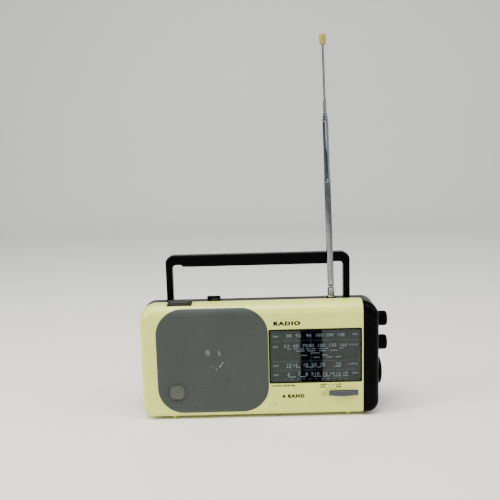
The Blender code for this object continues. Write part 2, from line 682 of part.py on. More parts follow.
def make_tuning_works():
    part("dial_cord", tube_mesh("dial_cord", cord_route(), CORD_RADIUS, True), CORD_WHITE)
    for name, x in zip(("left", "right"), PULLEY_XS):
        wheel = disc((x, CORD_Y - 0.9 * MM, PULLEY_Z), 1.8 * MM, PULLEY_RADIUS, ALONG_Y, 16)
        part(f"cord_pulley_{name}", wheel, WHITE_PLASTIC)
    drum = [
        (0, 0), (DRUM_RADIUS, 0), (DRUM_RADIUS, 2.8 * MM), (DRUM_RADIUS - 2 * MM, 2.8 * MM),
        (DRUM_RADIUS - 2 * MM, 1.4 * MM), (3 * MM, 1.4 * MM), (3 * MM, 4.2 * MM), (0, 4.2 * MM),
    ]
    drum_start = (DRUM_X, CORD_Y - 1.4 * MM, DRUM_Z)
    part("tuning_drum", turned(drum, drum_start, ALONG_Y, 28), WHITE_PLASTIC, drum_start)
    low = (DRUM_X - 10 * MM, CORD_Y + 3.4 * MM, DRUM_Z - 10 * MM)
    high = (DRUM_X + 10 * MM, BOARD_FRONT - GAP, DRUM_Z + 10 * MM)
    part("tuning_capacitor", rounded_box(low, high, 0.8 * MM, 1), CLEAR_PLASTIC)
    shaft_start = (TUNING_SHAFT_START, KNOB_Y, TUNING_Z)
    length = TUNING_KNOB_END - KNOB_FACE - MM - TUNING_SHAFT_START
    part("tuning_shaft", disc(shaft_start, length, SHAFT_RADIUS, ALONG_X, 16), STEEL, shaft_start)


def quarter_turn(steps):
    """The angles of a quarter circle, in even steps."""
    return [math.pi / 2 * step / steps for step in range(steps + 1)]


def knob(name, height, radius, end, finish, rim=0.0):
    """A round control knob with a blind bore for its shaft, on the right end: domed down to a rim if one is given."""
    start = CASE_WIDTH / 2 + KNOB_STANDOFF
    length = end - start
    bore = SHAFT_RADIUS + SHAFT_FIT
    bottom = length - KNOB_FACE
    if rim:
        crown = [(radius * math.sin(a), rim + (length - rim) * math.cos(a)) for a in quarter_turn(5)]
    else:
        crown = [
            (0, length),
            (radius - KNOB_CROWN, length),
            (radius - KNOB_CROWN_EDGE, length - KNOB_CROWN_EDGE),
            (radius, length - KNOB_CROWN),
        ]
    profile = crown + [(radius, KNOB_FOOT), (radius - KNOB_FOOT, 0), (bore, 0), (bore, bottom), (0, bottom)]
    spot = (start, KNOB_Y, height)
    part(name, turned(profile, spot, ALONG_X, 24), finish, spot)


def make_small_controls():
    for name, height in KNOBS[:2]:
        knob(f"{name}_knob", height, SMALL_KNOB_RADIUS, SMALL_KNOB_END, BLACK)
        length = SMALL_KNOB_END - KNOB_FACE - MM - POT_START
        shaft_start = (POT_START, KNOB_Y, height)
        part(f"{name}_shaft", disc(shaft_start, length, SHAFT_RADIUS, ALONG_X, 16), STEEL, shaft_start)
        bore = SHAFT_RADIUS + GAP
        ring = [(bore, 0), (bore, POT_RADIUS), (POT_RADIUS, POT_RADIUS), (POT_RADIUS, 0)]
        pot_start = (POT_START + GAP, KNOB_Y, height)
        part(f"{name}_pot", turned(ring, pot_start, ALONG_X, 20), STEEL)
    knob("tuning_knob", TUNING_Z, TUNING_KNOB_RADIUS, TUNING_KNOB_END, BLACK, TUNING_KNOB_RIM)


def make_band_switch():
    left = SWITCH_KNOB_RIGHT - SWITCH_KNOB_WIDTH
    middle = SWITCH_KNOB_RIGHT - SWITCH_KNOB_WIDTH / 2
    half = SWITCH_SLOT_HEIGHT / 2 - 0.5 * MM
    bow = [(left, 1.4 * MM), (left, 0)]
    for step in range(1, 12):
        share = step / 12
        bow.append((left + SWITCH_KNOB_WIDTH * share, -SWITCH_PROUD * math.sin(math.pi * share)))
    bow += [(SWITCH_KNOB_RIGHT, 0), (SWITCH_KNOB_RIGHT, 1.4 * MM)]
    bar = extruded(bow, SWITCH_Z - half, SWITCH_Z + half, "xy")
    slider = part("band_switch_knob", bar, SLIDER_GREY, (middle, 0, SWITCH_Z), smooth=False)
    wide = SWITCH_STEM_WIDTH / 2
    tall = SWITCH_STEM_HEIGHT / 2
    stem_low = (middle - wide, MM, SWITCH_Z - tall)
    stem_high = (middle + wide, SWITCH_BODY_LOW[1] - 0.4 * MM, SWITCH_Z + tall)
    unite(slider, cutter("switch_stem", box(stem_low, stem_high)))
    part("band_switch_body", rounded_box(SWITCH_BODY_LOW, SWITCH_BODY_HIGH, 0.6 * MM, 1), STEEL)


def make_power_button():
    low = (BUTTON_LEFT, BUTTON_FRONT, CASE_TOP - FRONT_WALL)
    high = (BUTTON_RIGHT, BUTTON_BACK, BUTTON_TOP)
    part("power_button", rounded_box(low, high, 1.2 * MM, 3), BUTTON_GREY, (low[0], low[1], CASE_TOP))
    inset = 5 * MM
    switch_low = (BUTTON_LEFT + inset, POWER_SWITCH_FRONT, POWER_SWITCH_BOTTOM)
    switch_high = (BUTTON_RIGHT - inset, BUTTON_BACK - MM, CASE_TOP - FRONT_WALL - BUTTON_DROP - GAP)
    part("power_switch", rounded_box(switch_low, switch_high, 0.6 * MM, 1), STEEL)


def make_handle():
    bottom = PIVOT_Z - PIVOT_OVERHANG
    inner = HANDLE_OUTER - HANDLE_LEG
    under = HANDLE_TOP - HANDLE_BAR
    toe = 2 * MM
    corners = [
        (-HANDLE_OUTER, bottom, toe),
        (-HANDLE_OUTER, HANDLE_TOP, HANDLE_OUTER_CORNER),
        (HANDLE_OUTER, HANDLE_TOP, HANDLE_OUTER_CORNER),
        (HANDLE_OUTER, bottom, toe),
        (inner, bottom, toe),
        (inner, under, HANDLE_INNER_CORNER),
        (-inner, under, HANDLE_INNER_CORNER),
        (-inner, bottom, toe),
    ]
    outline = rounded_outline(corners, 4)
    bm = extruded(outline, HANDLE_Y - HANDLE_DEPTH / 2, HANDLE_Y + HANDLE_DEPTH / 2, "xz")
    rims = [e for e in bm.edges if abs(e.verts[0].co.y - e.verts[1].co.y) < 0.01 * MM]
    bmesh.ops.bevel(bm, geom=rims, offset=HANDLE_EDGE, segments=2, affect="EDGES", profile=0.5)
    handle = part("handle", bm, BLACK, (0, HANDLE_Y, PIVOT_Z))
    hole = disc((-FAR, HANDLE_Y, PIVOT_Z), 2 * FAR, PIN_RADIUS + GAP, ALONG_X, 12)
    cut(handle, cutter("handle_holes", hole))
    thick = 1.2 * MM
    pin = [
        (0, 0),
        (PIN_HEAD, 0),
        (PIN_HEAD, thick),
        (PIN_RADIUS, thick),
        (PIN_RADIUS, PIN_LENGTH),
        (0, PIN_LENGTH),
    ]
    for side, name in ((-1, "left"), (1, "right")):
        turn = Matrix.Rotation(side * math.pi / 2, 4, "Y")
        part(f"handle_pin_{name}", turned(pin, (side * PIN_START, HANDLE_Y, PIVOT_Z), turn, 12), STEEL)


def along_antenna(distance):
    """A point on the antenna's line, at a distance from its tilt axis."""
    lean = Vector((-math.sin(ANTENNA_LEAN), 0, math.cos(ANTENNA_LEAN)))
    return Vector((ANTENNA_X, ANTENNA_Y, ANTENNA_HINGE_Z)) + lean * distance


def make_antenna_foot():
    """The foot that swivels in the roof: a stud, a flange and a fork that holds the lowest tube's tongue."""
    stud = ANTENNA_STUD_RADIUS
    flange = FORK_RADIUS + MM
    foot = [
        (0, -6 * MM),
        (stud, -6 * MM),
        (stud, GAP),
        (flange, GAP),
        (flange, 1.6 * MM),
        (FORK_RADIUS, 2.2 * MM),
        (FORK_RADIUS, 10.4 * MM),
        (FORK_RADIUS - 0.6 * MM, 11 * MM),
        (0, 11 * MM),
    ]
    spot = (ANTENNA_X, ANTENNA_Y, CASE_TOP)
    base = part("antenna_base", turned(foot, spot, sides=20), CHROME, spot)
    fork_low = (ANTENNA_X - FAR, ANTENNA_Y - FORK_SLOT / 2, CASE_TOP + 2.8 * MM)
    fork_high = (ANTENNA_X + FAR, ANTENNA_Y + FORK_SLOT / 2, FAR)
    cut(base, cutter("fork_slot", box(fork_low, fork_high)))
    hole_start = (ANTENNA_X, ANTENNA_Y - 2 * FORK_RADIUS, ANTENNA_HINGE_Z)
    pin_hole = disc(hole_start, 4 * FORK_RADIUS, HINGE_PIN_RADIUS + 0.15 * MM, ALONG_Y, 12)
    cut(base, cutter("fork_pin_hole", pin_hole))
    pin_half = FORK_RADIUS + 0.1 * MM
    pin_start = (ANTENNA_X, ANTENNA_Y - pin_half, ANTENNA_HINGE_Z)
    part("antenna_hinge_pin", disc(pin_start, 2 * pin_half, HINGE_PIN_RADIUS, ALONG_Y, 12), CHROME)


def make_antenna_tubes():
    lean = Matrix.Rotation(-ANTENNA_LEAN, 4, "Y")
    half, top, end_rounding = 3 * MM, 7 * MM, 2.9 * MM
    corners = [(-half, -half, end_rounding), (-half, top, 0), (half, top, 0), (half, -half, end_rounding)]
    tongue = extruded(rounded_outline(corners, 4), -TONGUE_SHEET / 2, TONGUE_SHEET / 2, "xz")
    hinge = Vector((ANTENNA_X, ANTENNA_Y, ANTENNA_HINGE_Z))
    place = Matrix.Translation(hinge) @ lean
    bmesh.ops.transform(tongue, matrix=place, verts=tongue.verts)
    for index, (radius, start, end) in enumerate(zip(TUBE_RADII, TUBE_STARTS, TUBE_ENDS)):
        length = end - start
        bore = radius - TUBE_WALL
        if index == 0:
            edge, plug = 0.5 * MM, 3 * MM
            profile = [
                (0, 0),
                (radius - edge, 0),
                (radius, edge),
                (radius, length),
                (bore, length),
                (bore, plug),
                (0, plug),
            ]
        else:
            profile = [(radius, 0), (radius, length), (bore, length), (bore, 0)]
        spot = hinge if index == 0 else along_antenna(start)
        bm = turned(profile, along_antenna(start), lean, 20)
        tube = part(f"antenna_tube_{index + 1}", bm, CHROME, spot)
        if index == 0:
            unite(tube, cutter("antenna_tongue", tongue))
            eye_start = (ANTENNA_X, ANTENNA_Y - 2 * TONGUE_SHEET, ANTENNA_HINGE_Z)
            eye = disc(eye_start, 4 * TONGUE_SHEET, HINGE_PIN_RADIUS + GAP, ALONG_Y, 12)
            cut(tube, cutter("tongue_eye", eye))
    rod = disc(along_antenna(ROD_START), ROD_END - ROD_START + TIP_GRIP, ROD_RADIUS, lean, 12)
    part("antenna_rod", rod, CHROME, along_antenna(ROD_START))
    bore = ROD_RADIUS + 0.1 * MM
    lower, upper = 0.6 * MM, 1.2 * MM
    bottom = TIP_GRIP + 0.2 * MM
    tip = [
        (bore, 0),
        (TIP_RADIUS - lower, 0),
        (TIP_RADIUS, lower),
        (TIP_RADIUS, TIP_LENGTH - upper),
        (TIP_RADIUS - upper, TIP_LENGTH),
        (0, TIP_LENGTH),
        (0, bottom),
        (bore, bottom),
    ]
    part("antenna_tip", turned(tip, along_antenna(ROD_END), lean, 20), CREAM, along_antenna(ROD_END))


def make_clip():
    """The open clip on the roof that holds the folded antenna."""
    bottom = CASE_TOP + GAP
    floor = bottom + CLIP_FLOOR
    half = CLIP_CHANNEL / 2 + CLIP_WALL
    low = (CLIP_LEFT, ANTENNA_Y - half, bottom)
    high = (CLIP_RIGHT, ANTENNA_Y + half, CLIP_TOP)
    clip = part("antenna_clip", rounded_box(low, high, 0.7 * MM, 2), BLACK)
    channel_low = (-FAR, ANTENNA_Y - CLIP_CHANNEL / 2, floor)
    cut(clip, cutter("clip_channel", box(channel_low, (FAR, ANTENNA_Y + CLIP_CHANNEL / 2, FAR))))
    window_low = (CLIP_WINDOW_LEFT, 0, floor)
    window_high = (CLIP_WINDOW_RIGHT, ANTENNA_Y, floor + CLIP_WINDOW_HEIGHT)
    cut(clip, cutter("clip_window", box(window_low, window_high)))
    cut(clip, cutter("clip_rear", box((-FAR, ANTENNA_Y, CLIP_REAR_TOP), (FAR, FAR, FAR))))


def make_batteries():
    first = TRAY_LEFT + TRAY_WALL + 1.4 * MM
    button = 5.0 * MM
    body = CELL_LENGTH - 1.6 * MM
    cell = [
        (0, 0),
        (CELL_RADIUS - MM, 0),
        (CELL_RADIUS, MM),
        (CELL_RADIUS, body - MM),
        (CELL_RADIUS - MM, body),
        (button, body),
        (button, CELL_LENGTH),
        (0, CELL_LENGTH),
    ]
    for index in range(CELL_COUNT):
        start = (first + index * CELL_PITCH, CELL_Y, CELL_Z)
        part(f"battery_{index + 1}", turned(cell, start, ALONG_X, 20), CELL_JACKET)
    plate = TRAY_LEFT + TRAY_WALL
    plate_low = (plate + GAP, CELL_Y - CONTACT_REACH, CELL_Z - CONTACT_REACH)
    plate_high = (plate + 1.1 * MM, CELL_Y + CONTACT_REACH, CELL_Z + CONTACT_REACH)
    part("battery_contact", box(plate_low, plate_high), STEEL, smooth=False)
    start = first + CELL_COUNT * CELL_PITCH + 0.6 * MM
    end = TRAY_RIGHT - TRAY_WALL - 0.8 * MM
    steps = 10 * SPRING_TURNS
    helix = []
    for step in range(steps + 1):
        share = step / steps
        angle = math.tau * SPRING_TURNS * share
        radius = 3.5 * MM + 4 * MM * share
        along = start + (end - start) * share
        helix.append((along, CELL_Y + radius * math.cos(angle), CELL_Z + radius * math.sin(angle)))
    part("battery_spring", tube_mesh("battery_spring", helix, SPRING_WIRE, False), STEEL)


def make_electronics():
    part("circuit_board", box(BOARD_LOW, BOARD_HIGH), BOARD_BROWN, smooth=False)
    can_low = (20 * MM, 17 * MM, 48 * MM)
    part("if_can", rounded_box(can_low, (29 * MM, BOARD_FRONT - GAP, 57 * MM), 0.8 * MM, 1), STEEL)
    start = (33 * MM, 15 * MM, 84 * MM)
    part("output_capacitor", disc(start, BOARD_FRONT - GAP - start[1], 5 * MM, ALONG_Y, 16), CELL_JACKET)
    rod = disc((FERRITE_LEFT, ROD_Y, ROD_Z), FERRITE_LENGTH, FERRITE_RADIUS, ALONG_X, 16)
    part("ferrite_rod", rod, FERRITE)
    holder_low = (20 * MM, ROD_Y - 6 * MM, BOARD_HIGH[2] + 0.4 * MM)
    holder_high = (28 * MM, ROD_Y + 6 * MM, ROD_Z + 6 * MM)
    holder = part("ferrite_holder", box(holder_low, holder_high), WHITE_PLASTIC, smooth=False)
    bore = disc((0, ROD_Y, ROD_Z), FERRITE_LENGTH / 2, FERRITE_RADIUS + GAP, ALONG_X, 16)
    cut(holder, cutter("holder_bore", bore))


def make_jacks():
    face = 0.5 * MM
    seat = REAR_WALL + GAP
    bottom = JACK_LENGTH - 2 * MM
    for name, height, hole, outer in (
        ("earphone_jack", EARPHONE_Z, EARPHONE_BORE, EARPHONE_RADIUS),
        ("dc_jack", DC_Z, DC_BORE, DC_RADIUS),
    ):
        flange = outer + 1.5 * MM
        profile = [
            (hole, face),
            (outer, face),
            (outer, seat),
            (flange, seat),
            (flange, JACK_LENGTH),
            (0, JACK_LENGTH),
            (0, bottom),
            (hole, bottom),
        ]
        part(name, turned(profile, (-CASE_WIDTH / 2, JACK_Y, height), ALONG_X, 16), STEEL)


def make_screws():
    thick = 1.2 * MM
    screw = [
        (0, 0),
        (SCREW_HEAD, 0),
        (SCREW_HEAD, thick),
        (SCREW_SHANK, thick),
        (SCREW_SHANK, SCREW_LENGTH),
        (0, SCREW_LENGTH),
    ]
    for index, (x, z) in enumerate(SCREWS):
        part(f"case_screw_{index + 1}", turned(screw, (x, CASE_DEPTH, z), INTO_BACK, 12), STEEL)


clear_scene()
PARTS = new_collection("portable_radio")
CUTTERS = new_collection("cutters")
ROOT = bpy.data.objects.new("radio_origin", None)
ROOT.location = ROOT_SHIFT
PARTS.objects.link(ROOT)

CREAM = material("cream_plastic", (200, 198, 156), 0.42)
BLACK = material("black_plastic", (14, 14, 15), 0.45)
GREY_PLASTIC = material("grey_plastic", (60, 60, 60), 0.5)
WHITE_PLASTIC = material("white_plastic", (215, 212, 200), 0.45)
GRILLE_METAL = material("grille_metal", (84, 88, 84), 0.5, 0.4)
BLACK_CLOTH = material("black_cloth", (18, 18, 18), 0.95)
SMOKED = material("smoked_window", (40, 44, 44), 0.08, alpha=0.35)
DIAL_BLACK = material("dial_black", (12, 12, 12), 0.4)
POINTER_PAINT = material("pointer_paint", (92, 84, 170), 0.4)
SLIDER_GREY = material("slider_grey", (86, 86, 92), 0.4)
BUTTON_GREY = material("button_grey", (80, 84, 82), 0.45)
CHROME = material("chrome", (200, 202, 204), 0.12, 1.0)
STEEL = material("steel", (150, 150, 148), 0.35, 0.9)
FERRITE = material("ferrite", (34, 34, 36), 0.6)
PAPER = material("cone_paper", (30, 28, 26), 0.9)
CORD_WHITE = material("dial_cord", (210, 205, 190), 0.8)
CLEAR_PLASTIC = material("clear_plastic", (190, 200, 205), 0.25)
BOARD_BROWN = material("board_brown", (140, 96, 48), 0.6)
CELL_JACKET = material("cell_jacket", (40, 60, 110), 0.4)

make_front_case()
make_rear_case()
make_end_cap()
make_battery_door()
make_battery_tray()
make_grille()
make_speaker()
make_dial()
make_tuning_works()
make_small_controls()
make_band_switch()
make_power_button()
make_handle()
make_antenna_foot()
make_antenna_tubes()
make_clip()
make_batteries()
make_electronics()
make_jacks()
make_screws()
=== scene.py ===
"""The looks of the portable four-band radio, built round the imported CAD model."""
from math import asin, ceil, cos, floor, hypot, pi, radians, sin, tan, tau

import bmesh
import bpy
from mathutils import Matrix, Vector


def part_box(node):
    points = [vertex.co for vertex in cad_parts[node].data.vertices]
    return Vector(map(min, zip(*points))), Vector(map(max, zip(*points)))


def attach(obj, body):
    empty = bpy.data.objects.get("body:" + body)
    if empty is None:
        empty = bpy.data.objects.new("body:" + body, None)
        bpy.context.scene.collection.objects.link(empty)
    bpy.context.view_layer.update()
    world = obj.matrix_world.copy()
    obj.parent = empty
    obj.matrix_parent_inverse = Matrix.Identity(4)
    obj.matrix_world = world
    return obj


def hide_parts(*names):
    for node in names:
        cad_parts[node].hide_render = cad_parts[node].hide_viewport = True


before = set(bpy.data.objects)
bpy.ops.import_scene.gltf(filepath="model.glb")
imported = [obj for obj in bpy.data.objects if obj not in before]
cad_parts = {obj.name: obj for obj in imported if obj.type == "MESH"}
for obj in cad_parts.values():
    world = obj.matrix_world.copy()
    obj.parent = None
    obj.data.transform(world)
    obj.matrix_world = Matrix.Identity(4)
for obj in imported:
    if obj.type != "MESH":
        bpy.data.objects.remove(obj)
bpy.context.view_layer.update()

MM = 0.001


def mm(*lengths):
    """Millimetres as metres."""
    return tuple(length * MM for length in lengths)


# ---------------------------------------------------------------- the frame's own measures

CASE_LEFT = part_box("front_case")[0].x
CASE_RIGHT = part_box("right_end_cap")[1].x
FRONT_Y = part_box("speaker_grille")[0].y
ORIGIN = Vector(((CASE_LEFT + CASE_RIGHT) / 2, FRONT_Y, 0))


def local(node):
    """A CAD node's box in radio coordinates: from the case's middle, its front face and the table."""
    low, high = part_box(node)
    return low - ORIGIN, high - ORIGIN


def middle_of(node):
    low, high = local(node)
    return (low + high) / 2


def round_part(node):
    """The middle y and z of a round node that points sideways, and its radius."""
    low, high = local(node)
    middle = (low + high) / 2
    return middle.y, middle.z, (high.z - low.z) / 2


_, FRONT_HIGH = local("front_case")
CAP_LOW, CAP_HIGH = local("right_end_cap")
GRILLE_LOW, GRILLE_HIGH = local("speaker_grille")
WINDOW_LOW, WINDOW_HIGH = local("dial_window")
SCALE_LOW, SCALE_HIGH = local("dial_scale")
HANDLE_LOW, HANDLE_HIGH = local("handle")
DOOR_LOW, DOOR_HIGH = local("battery_door")
SCREWS = [node for node in sorted(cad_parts) if node.startswith("case_screw")]
CASE_HALF = (CASE_RIGHT - CASE_LEFT) / 2
CASE_BOTTOM = CAP_LOW.z
CASE_TOP = CAP_HIGH.z
CASE_DEPTH = CAP_HIGH.y
FRONT_DEPTH = FRONT_HIGH.y
CAP_SEAM = (FRONT_HIGH.x + CAP_LOW.x) / 2
SEAM = CAP_LOW.x - FRONT_HIGH.x

TOP_CORNER, BOTTOM_CORNER = mm(17, 12)
FILLET_TOP, FILLET_SIDE, FILLET_BOTTOM = mm(12, 8, 5.5)
FRONT_WALL, REAR_WALL = mm(3.0, 2.4)
GRILLE_CORNER, GRILLE_SHEET = mm(27, 1.0)
ROOF_DEPTH, SLOPE_END = mm(35, 92)
RECESS_HALF, RECESS_FRONT, RECESS_BOTTOM = mm(100.3, 37, 42.8)
FOOT_X, FRONT_FOOT_Y, REAR_FOOT_Y = mm(91.7, 7.6, 55)
HANDLE_Y, PIVOT_Z, PIVOT_HOLE = mm(45, 106, 2.3)
STUD_HOLE, SHAFT_HOLE = mm(2.8, 3.3)
KNOB_BORE, KNOB_DISH = mm(3.2, 1.2)
HOLE_PITCH, HOLE_RADIUS = mm(2.45, 0.48)
PATCH = mm(-87.4, 30)
PATCH_RADIUS, PIP_RADIUS = mm(8.4, 0.5)
SHEET, GASKET_WIDTH, PRINT = mm(0.6, 1.2, 0.03)
# The air round a moving part, and a length past everything
GAP, FAR = mm(0.3, 200)
# The band switch's recess
SLOT_LEFT, SLOT_RIGHT, SLOT_HALF = mm(63.4, 102.2, 3.2)

ANTENNA_X, ANTENNA_Y, HINGE_Z = mm(77.1, 28, 128.5)
HINGE = Vector((ANTENNA_X, ANTENNA_Y, HINGE_Z))
ANTENNA_LEAN = radians(1.45)
FORK_SLOT = 2.8 * MM
TUBE_RADII = mm(3.45, 3.05, 2.6, 2.15, 1.7)
TUBE_STARTS = mm(6.0, 74.0, 85.0, 92.0, 112.0)
TUBE_ENDS = mm(118.5, 180.5, 183.0, 185.5, 200.5)
ROD_RADIUS, ROD_START, ROD_END = mm(1.2, 160.0, 252.8)

# Heights of the dial's rows
FM_Z, MW_Z, LW_Z, SW_Z, LOG_Z = mm(88.0, 77.0, 56.5, 46.5, 41.1)
DIVIDERS = mm(82.6, 60.5, 50.6)
# Dashes in place of station names, in millimetres: height, then (middle, width) along the row
STATION_DASHES = (
    (73.6, ((30.2, 3.8), (37.2, 4.2), (43.6, 4.4), (50.0, 4.2), (56.0, 4.0), (63.4, 4.6))),
    (73.6, ((69.4, 3.4), (84.4, 4.8))), (71.4, ((42.2, 8.4), (53.2, 8.4), (65.0, 6.6), (76.8, 8.0))),
    (69.0, ((57.4, 9.6),)), (66.6, ((45.8, 6.0), (67.4, 5.8))),
    (64.4, ((58.8, 6.4), (72.0, 6.6), (81.2, 5.8))),
    (53.9, ((29.6, 5.2), (39.8, 4.6), (51.8, 9.6), (60.8, 5.0), (80.2, 6.8))),
    (43.7, ((32.6, 8.0), (44.4, 6.0), (56.8, 3.6), (61.4, 4.4), (68.6, 7.0), (80.4, 7.4), (88.6, 5.8))),
)
CAMERA = Vector(mm(-2.8, -689.9, 289.9))
# The photographer's dark band in the window
BAND_LEFT, BAND_RIGHT, BAND_BOTTOM, BAND_TOP = mm(42.0, 64.8, 30, 105)

ALONG_X = Matrix.Rotation(pi / 2, 4, "Y")
ALONG_Y = Matrix.Rotation(-pi / 2, 4, "X")
INTO_BACK = Matrix.Rotation(pi / 2, 4, "X")
UPRIGHT = Matrix.Identity(4)

# ---------------------------------------------------------------- mesh tools


def box(low, high):
    low = Vector(low)
    high = Vector(high)
    bm = bmesh.new()
    place = Matrix.Translation((low + high) / 2) @ Matrix.Diagonal((*(high - low), 1))
    bmesh.ops.create_cube(bm, size=1, matrix=place)
    return bm


def disc(start, length, radius, turn=UPRIGHT, sides=48):
    bm = bmesh.new()
    place = Matrix.Translation(Vector(start)) @ turn @ Matrix.Translation((0, 0, length / 2))
    bmesh.ops.create_cone(
        bm, cap_ends=True, segments=sides, radius1=radius, radius2=radius, depth=length, matrix=place
    )
    return bm


def turned(corners, start, turn=UPRIGHT, sides=48, steps=4):
    """(radius, height, rounding) corners spun about the turned z axis, the last joined to the first."""
    bm = bmesh.new()
    points = [bm.verts.new((radius, 0, height)) for radius, height in rounded_outline(corners, steps)]
    edges = [bm.edges.new((a, b)) for a, b in zip(points, points[1:] + points[:1])]
    bmesh.ops.spin(
        bm, geom=points + edges, axis=(0, 0, 1), cent=(0, 0, 0), angle=tau, steps=sides, use_merge=True
    )
    bmesh.ops.remove_doubles(bm, verts=bm.verts, dist=0.0005 * MM)
    bare = [e for e in bm.edges if not e.link_faces]
    bmesh.ops.delete(bm, geom=bare, context="EDGES")
    bmesh.ops.transform(bm, matrix=Matrix.Translation(Vector(start)) @ turn, verts=bm.verts)
    return bm


def rounded_outline(corners, steps=8):
    """A closed outline from (u, v, radius) corners in order, with each round corner as an arc."""
    outline = []
    for index, (u, v, radius) in enumerate(corners):
        here = Vector((u, v))
        if radius == 0:
            outline.append(here)
            continue
        before = (Vector(corners[index - 1][:2]) - here).normalized()
        after = (Vector(corners[(index + 1) % len(corners)][:2]) - here).normalized()
        half = before.angle(after) / 2
        center = here + (before + after).normalized() * radius / sin(half)
        first = here + before * radius / tan(half) - center
        last = here + after * radius / tan(half) - center
        sweep = first.angle_signed(last)
        for step in range(steps + 1):
            outline.append(center + Matrix.Rotation(-sweep * step / steps, 2) @ first)
    return outline


def rectangle(left, right, bottom, top, radius, steps=8):
    corners = [(left, bottom, radius), (left, top, radius), (right, top, radius), (right, bottom, radius)]
    return rounded_outline(corners, steps)


def extruded(outline, start, end, plane="xz"):
    """A prism from an outline: plane xz runs it along y, plane yz along x, plane xy along z."""
    bm = bmesh.new()
    spot = {
        "xz": lambda u, v, w: (u, w, v), "yz": lambda u, v, w: (w, u, v), "xy": lambda u, v, w: (u, v, w),
    }[plane]
    face = bm.faces.new([bm.verts.new(spot(u, v, start)) for u, v in outline])
    grown = bmesh.ops.extrude_face_region(bm, geom=[face])
    moved = [item for item in grown["geom"] if isinstance(item, bmesh.types.BMVert)]
    bmesh.ops.translate(bm, verts=moved, vec=Vector(spot(0, 0, end - start)))
    return bm


def add_solid(bm, other):
    """Puts another bmesh into the first, as a separate solid."""
    mesh = bpy.data.meshes.new("added")
    other.to_mesh(mesh)
    other.free()
    bm.from_mesh(mesh)
    bpy.data.meshes.remove(mesh)


def placed(name, data):
    """A new object in the scene."""
    made = bpy.data.objects.new(name, data)
    bpy.context.scene.collection.objects.link(made)
    return made


def skin(bm, rings):
    """Faces between closed rings of points, and one over each end."""
    count = len(rings[0])
    for near, far in zip(rings, rings[1:]):
        for index in range(count):
            after = (index + 1) % count
            bm.faces.new((near[index], near[after], far[after], far[index]))
    bm.faces.new(rings[0])
    bm.faces.new(rings[-1])


def as_object(name, bm):
    bmesh.ops.recalc_face_normals(bm, faces=bm.faces)
    mesh = bpy.data.meshes.new(name)
    bm.to_mesh(mesh)
    bm.free()
    return placed(name, mesh)


def settle(obj):
    """Applies an object's modifiers to its mesh."""
    bpy.context.view_layer.update()
    shaped = obj.evaluated_get(bpy.context.evaluated_depsgraph_get())
    mesh = bpy.data.meshes.new_from_object(shaped)
    old = obj.data
    obj.modifiers.clear()
    obj.data = mesh
    bpy.data.meshes.remove(old)


def carve(target, bm, operation="DIFFERENCE"):
    """Cuts, joins or intersects an object with a bmesh."""
    tool = as_object("tool", bm)
    change = target.modifiers.new("carve", "BOOLEAN")
    change.operation = operation
    change.solver = "EXACT"
    change.object = tool
    settle(target)
    mesh = tool.data
    bpy.data.objects.remove(tool, do_unlink=True)
    bpy.data.meshes.remove(mesh)


def taken_from(obj):
    """An object's mesh as a bmesh; the object itself goes."""
    bm = bmesh.new()
    bm.from_mesh(obj.data)
    bpy.data.objects.remove(obj, do_unlink=True)
    return bm


def prism(name, *shape):
    """An object from an outline, run from a start to an end."""
    return as_object(name, extruded(*shape))


def cut(target, *shape):
    """Cuts such a prism out of an object."""
    carve(target, extruded(*shape))


def ease_edges(obj, width, segments=2, angle=35):
    """Rounds the sharp edges a little and evens out the shading."""
    bevel = obj.modifiers.new("eased", "BEVEL")
    bevel.width = width
    bevel.segments = segments
    bevel.limit_method = "ANGLE"
    bevel.angle_limit = radians(angle)
    bevel.use_clamp_overlap = True
    bevel.miter_outer = "MITER_ARC"
    settle(obj)


def finish_piece(obj, material, nodes=(), body="case", sharp=32, even=True):
    """Shades a piece, gives it its material, places it in the frame and makes it ride on a body."""
    obj.data.transform(Matrix.Translation(ORIGIN))
    obj.data.materials.clear()
    obj.data.materials.append(material)
    obj.data.shade_smooth()
    obj.data.set_sharp_from_angle(angle=radians(sharp))
    if even:
        weigh = obj.modifiers.new("even shading", "WEIGHTED_NORMAL")
        weigh.keep_sharp = True
        settle(obj)
    if nodes:
        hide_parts(*nodes)
    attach(obj, body)


# ---------------------------------------------------------------- materials


def linear(value):
    level = value / 255
    return level / 12.92 if level <= 0.04045 else ((level + 0.055) / 1.055) ** 2.4


def color(red, green, blue):
    return (linear(red), linear(green), linear(blue), 1)


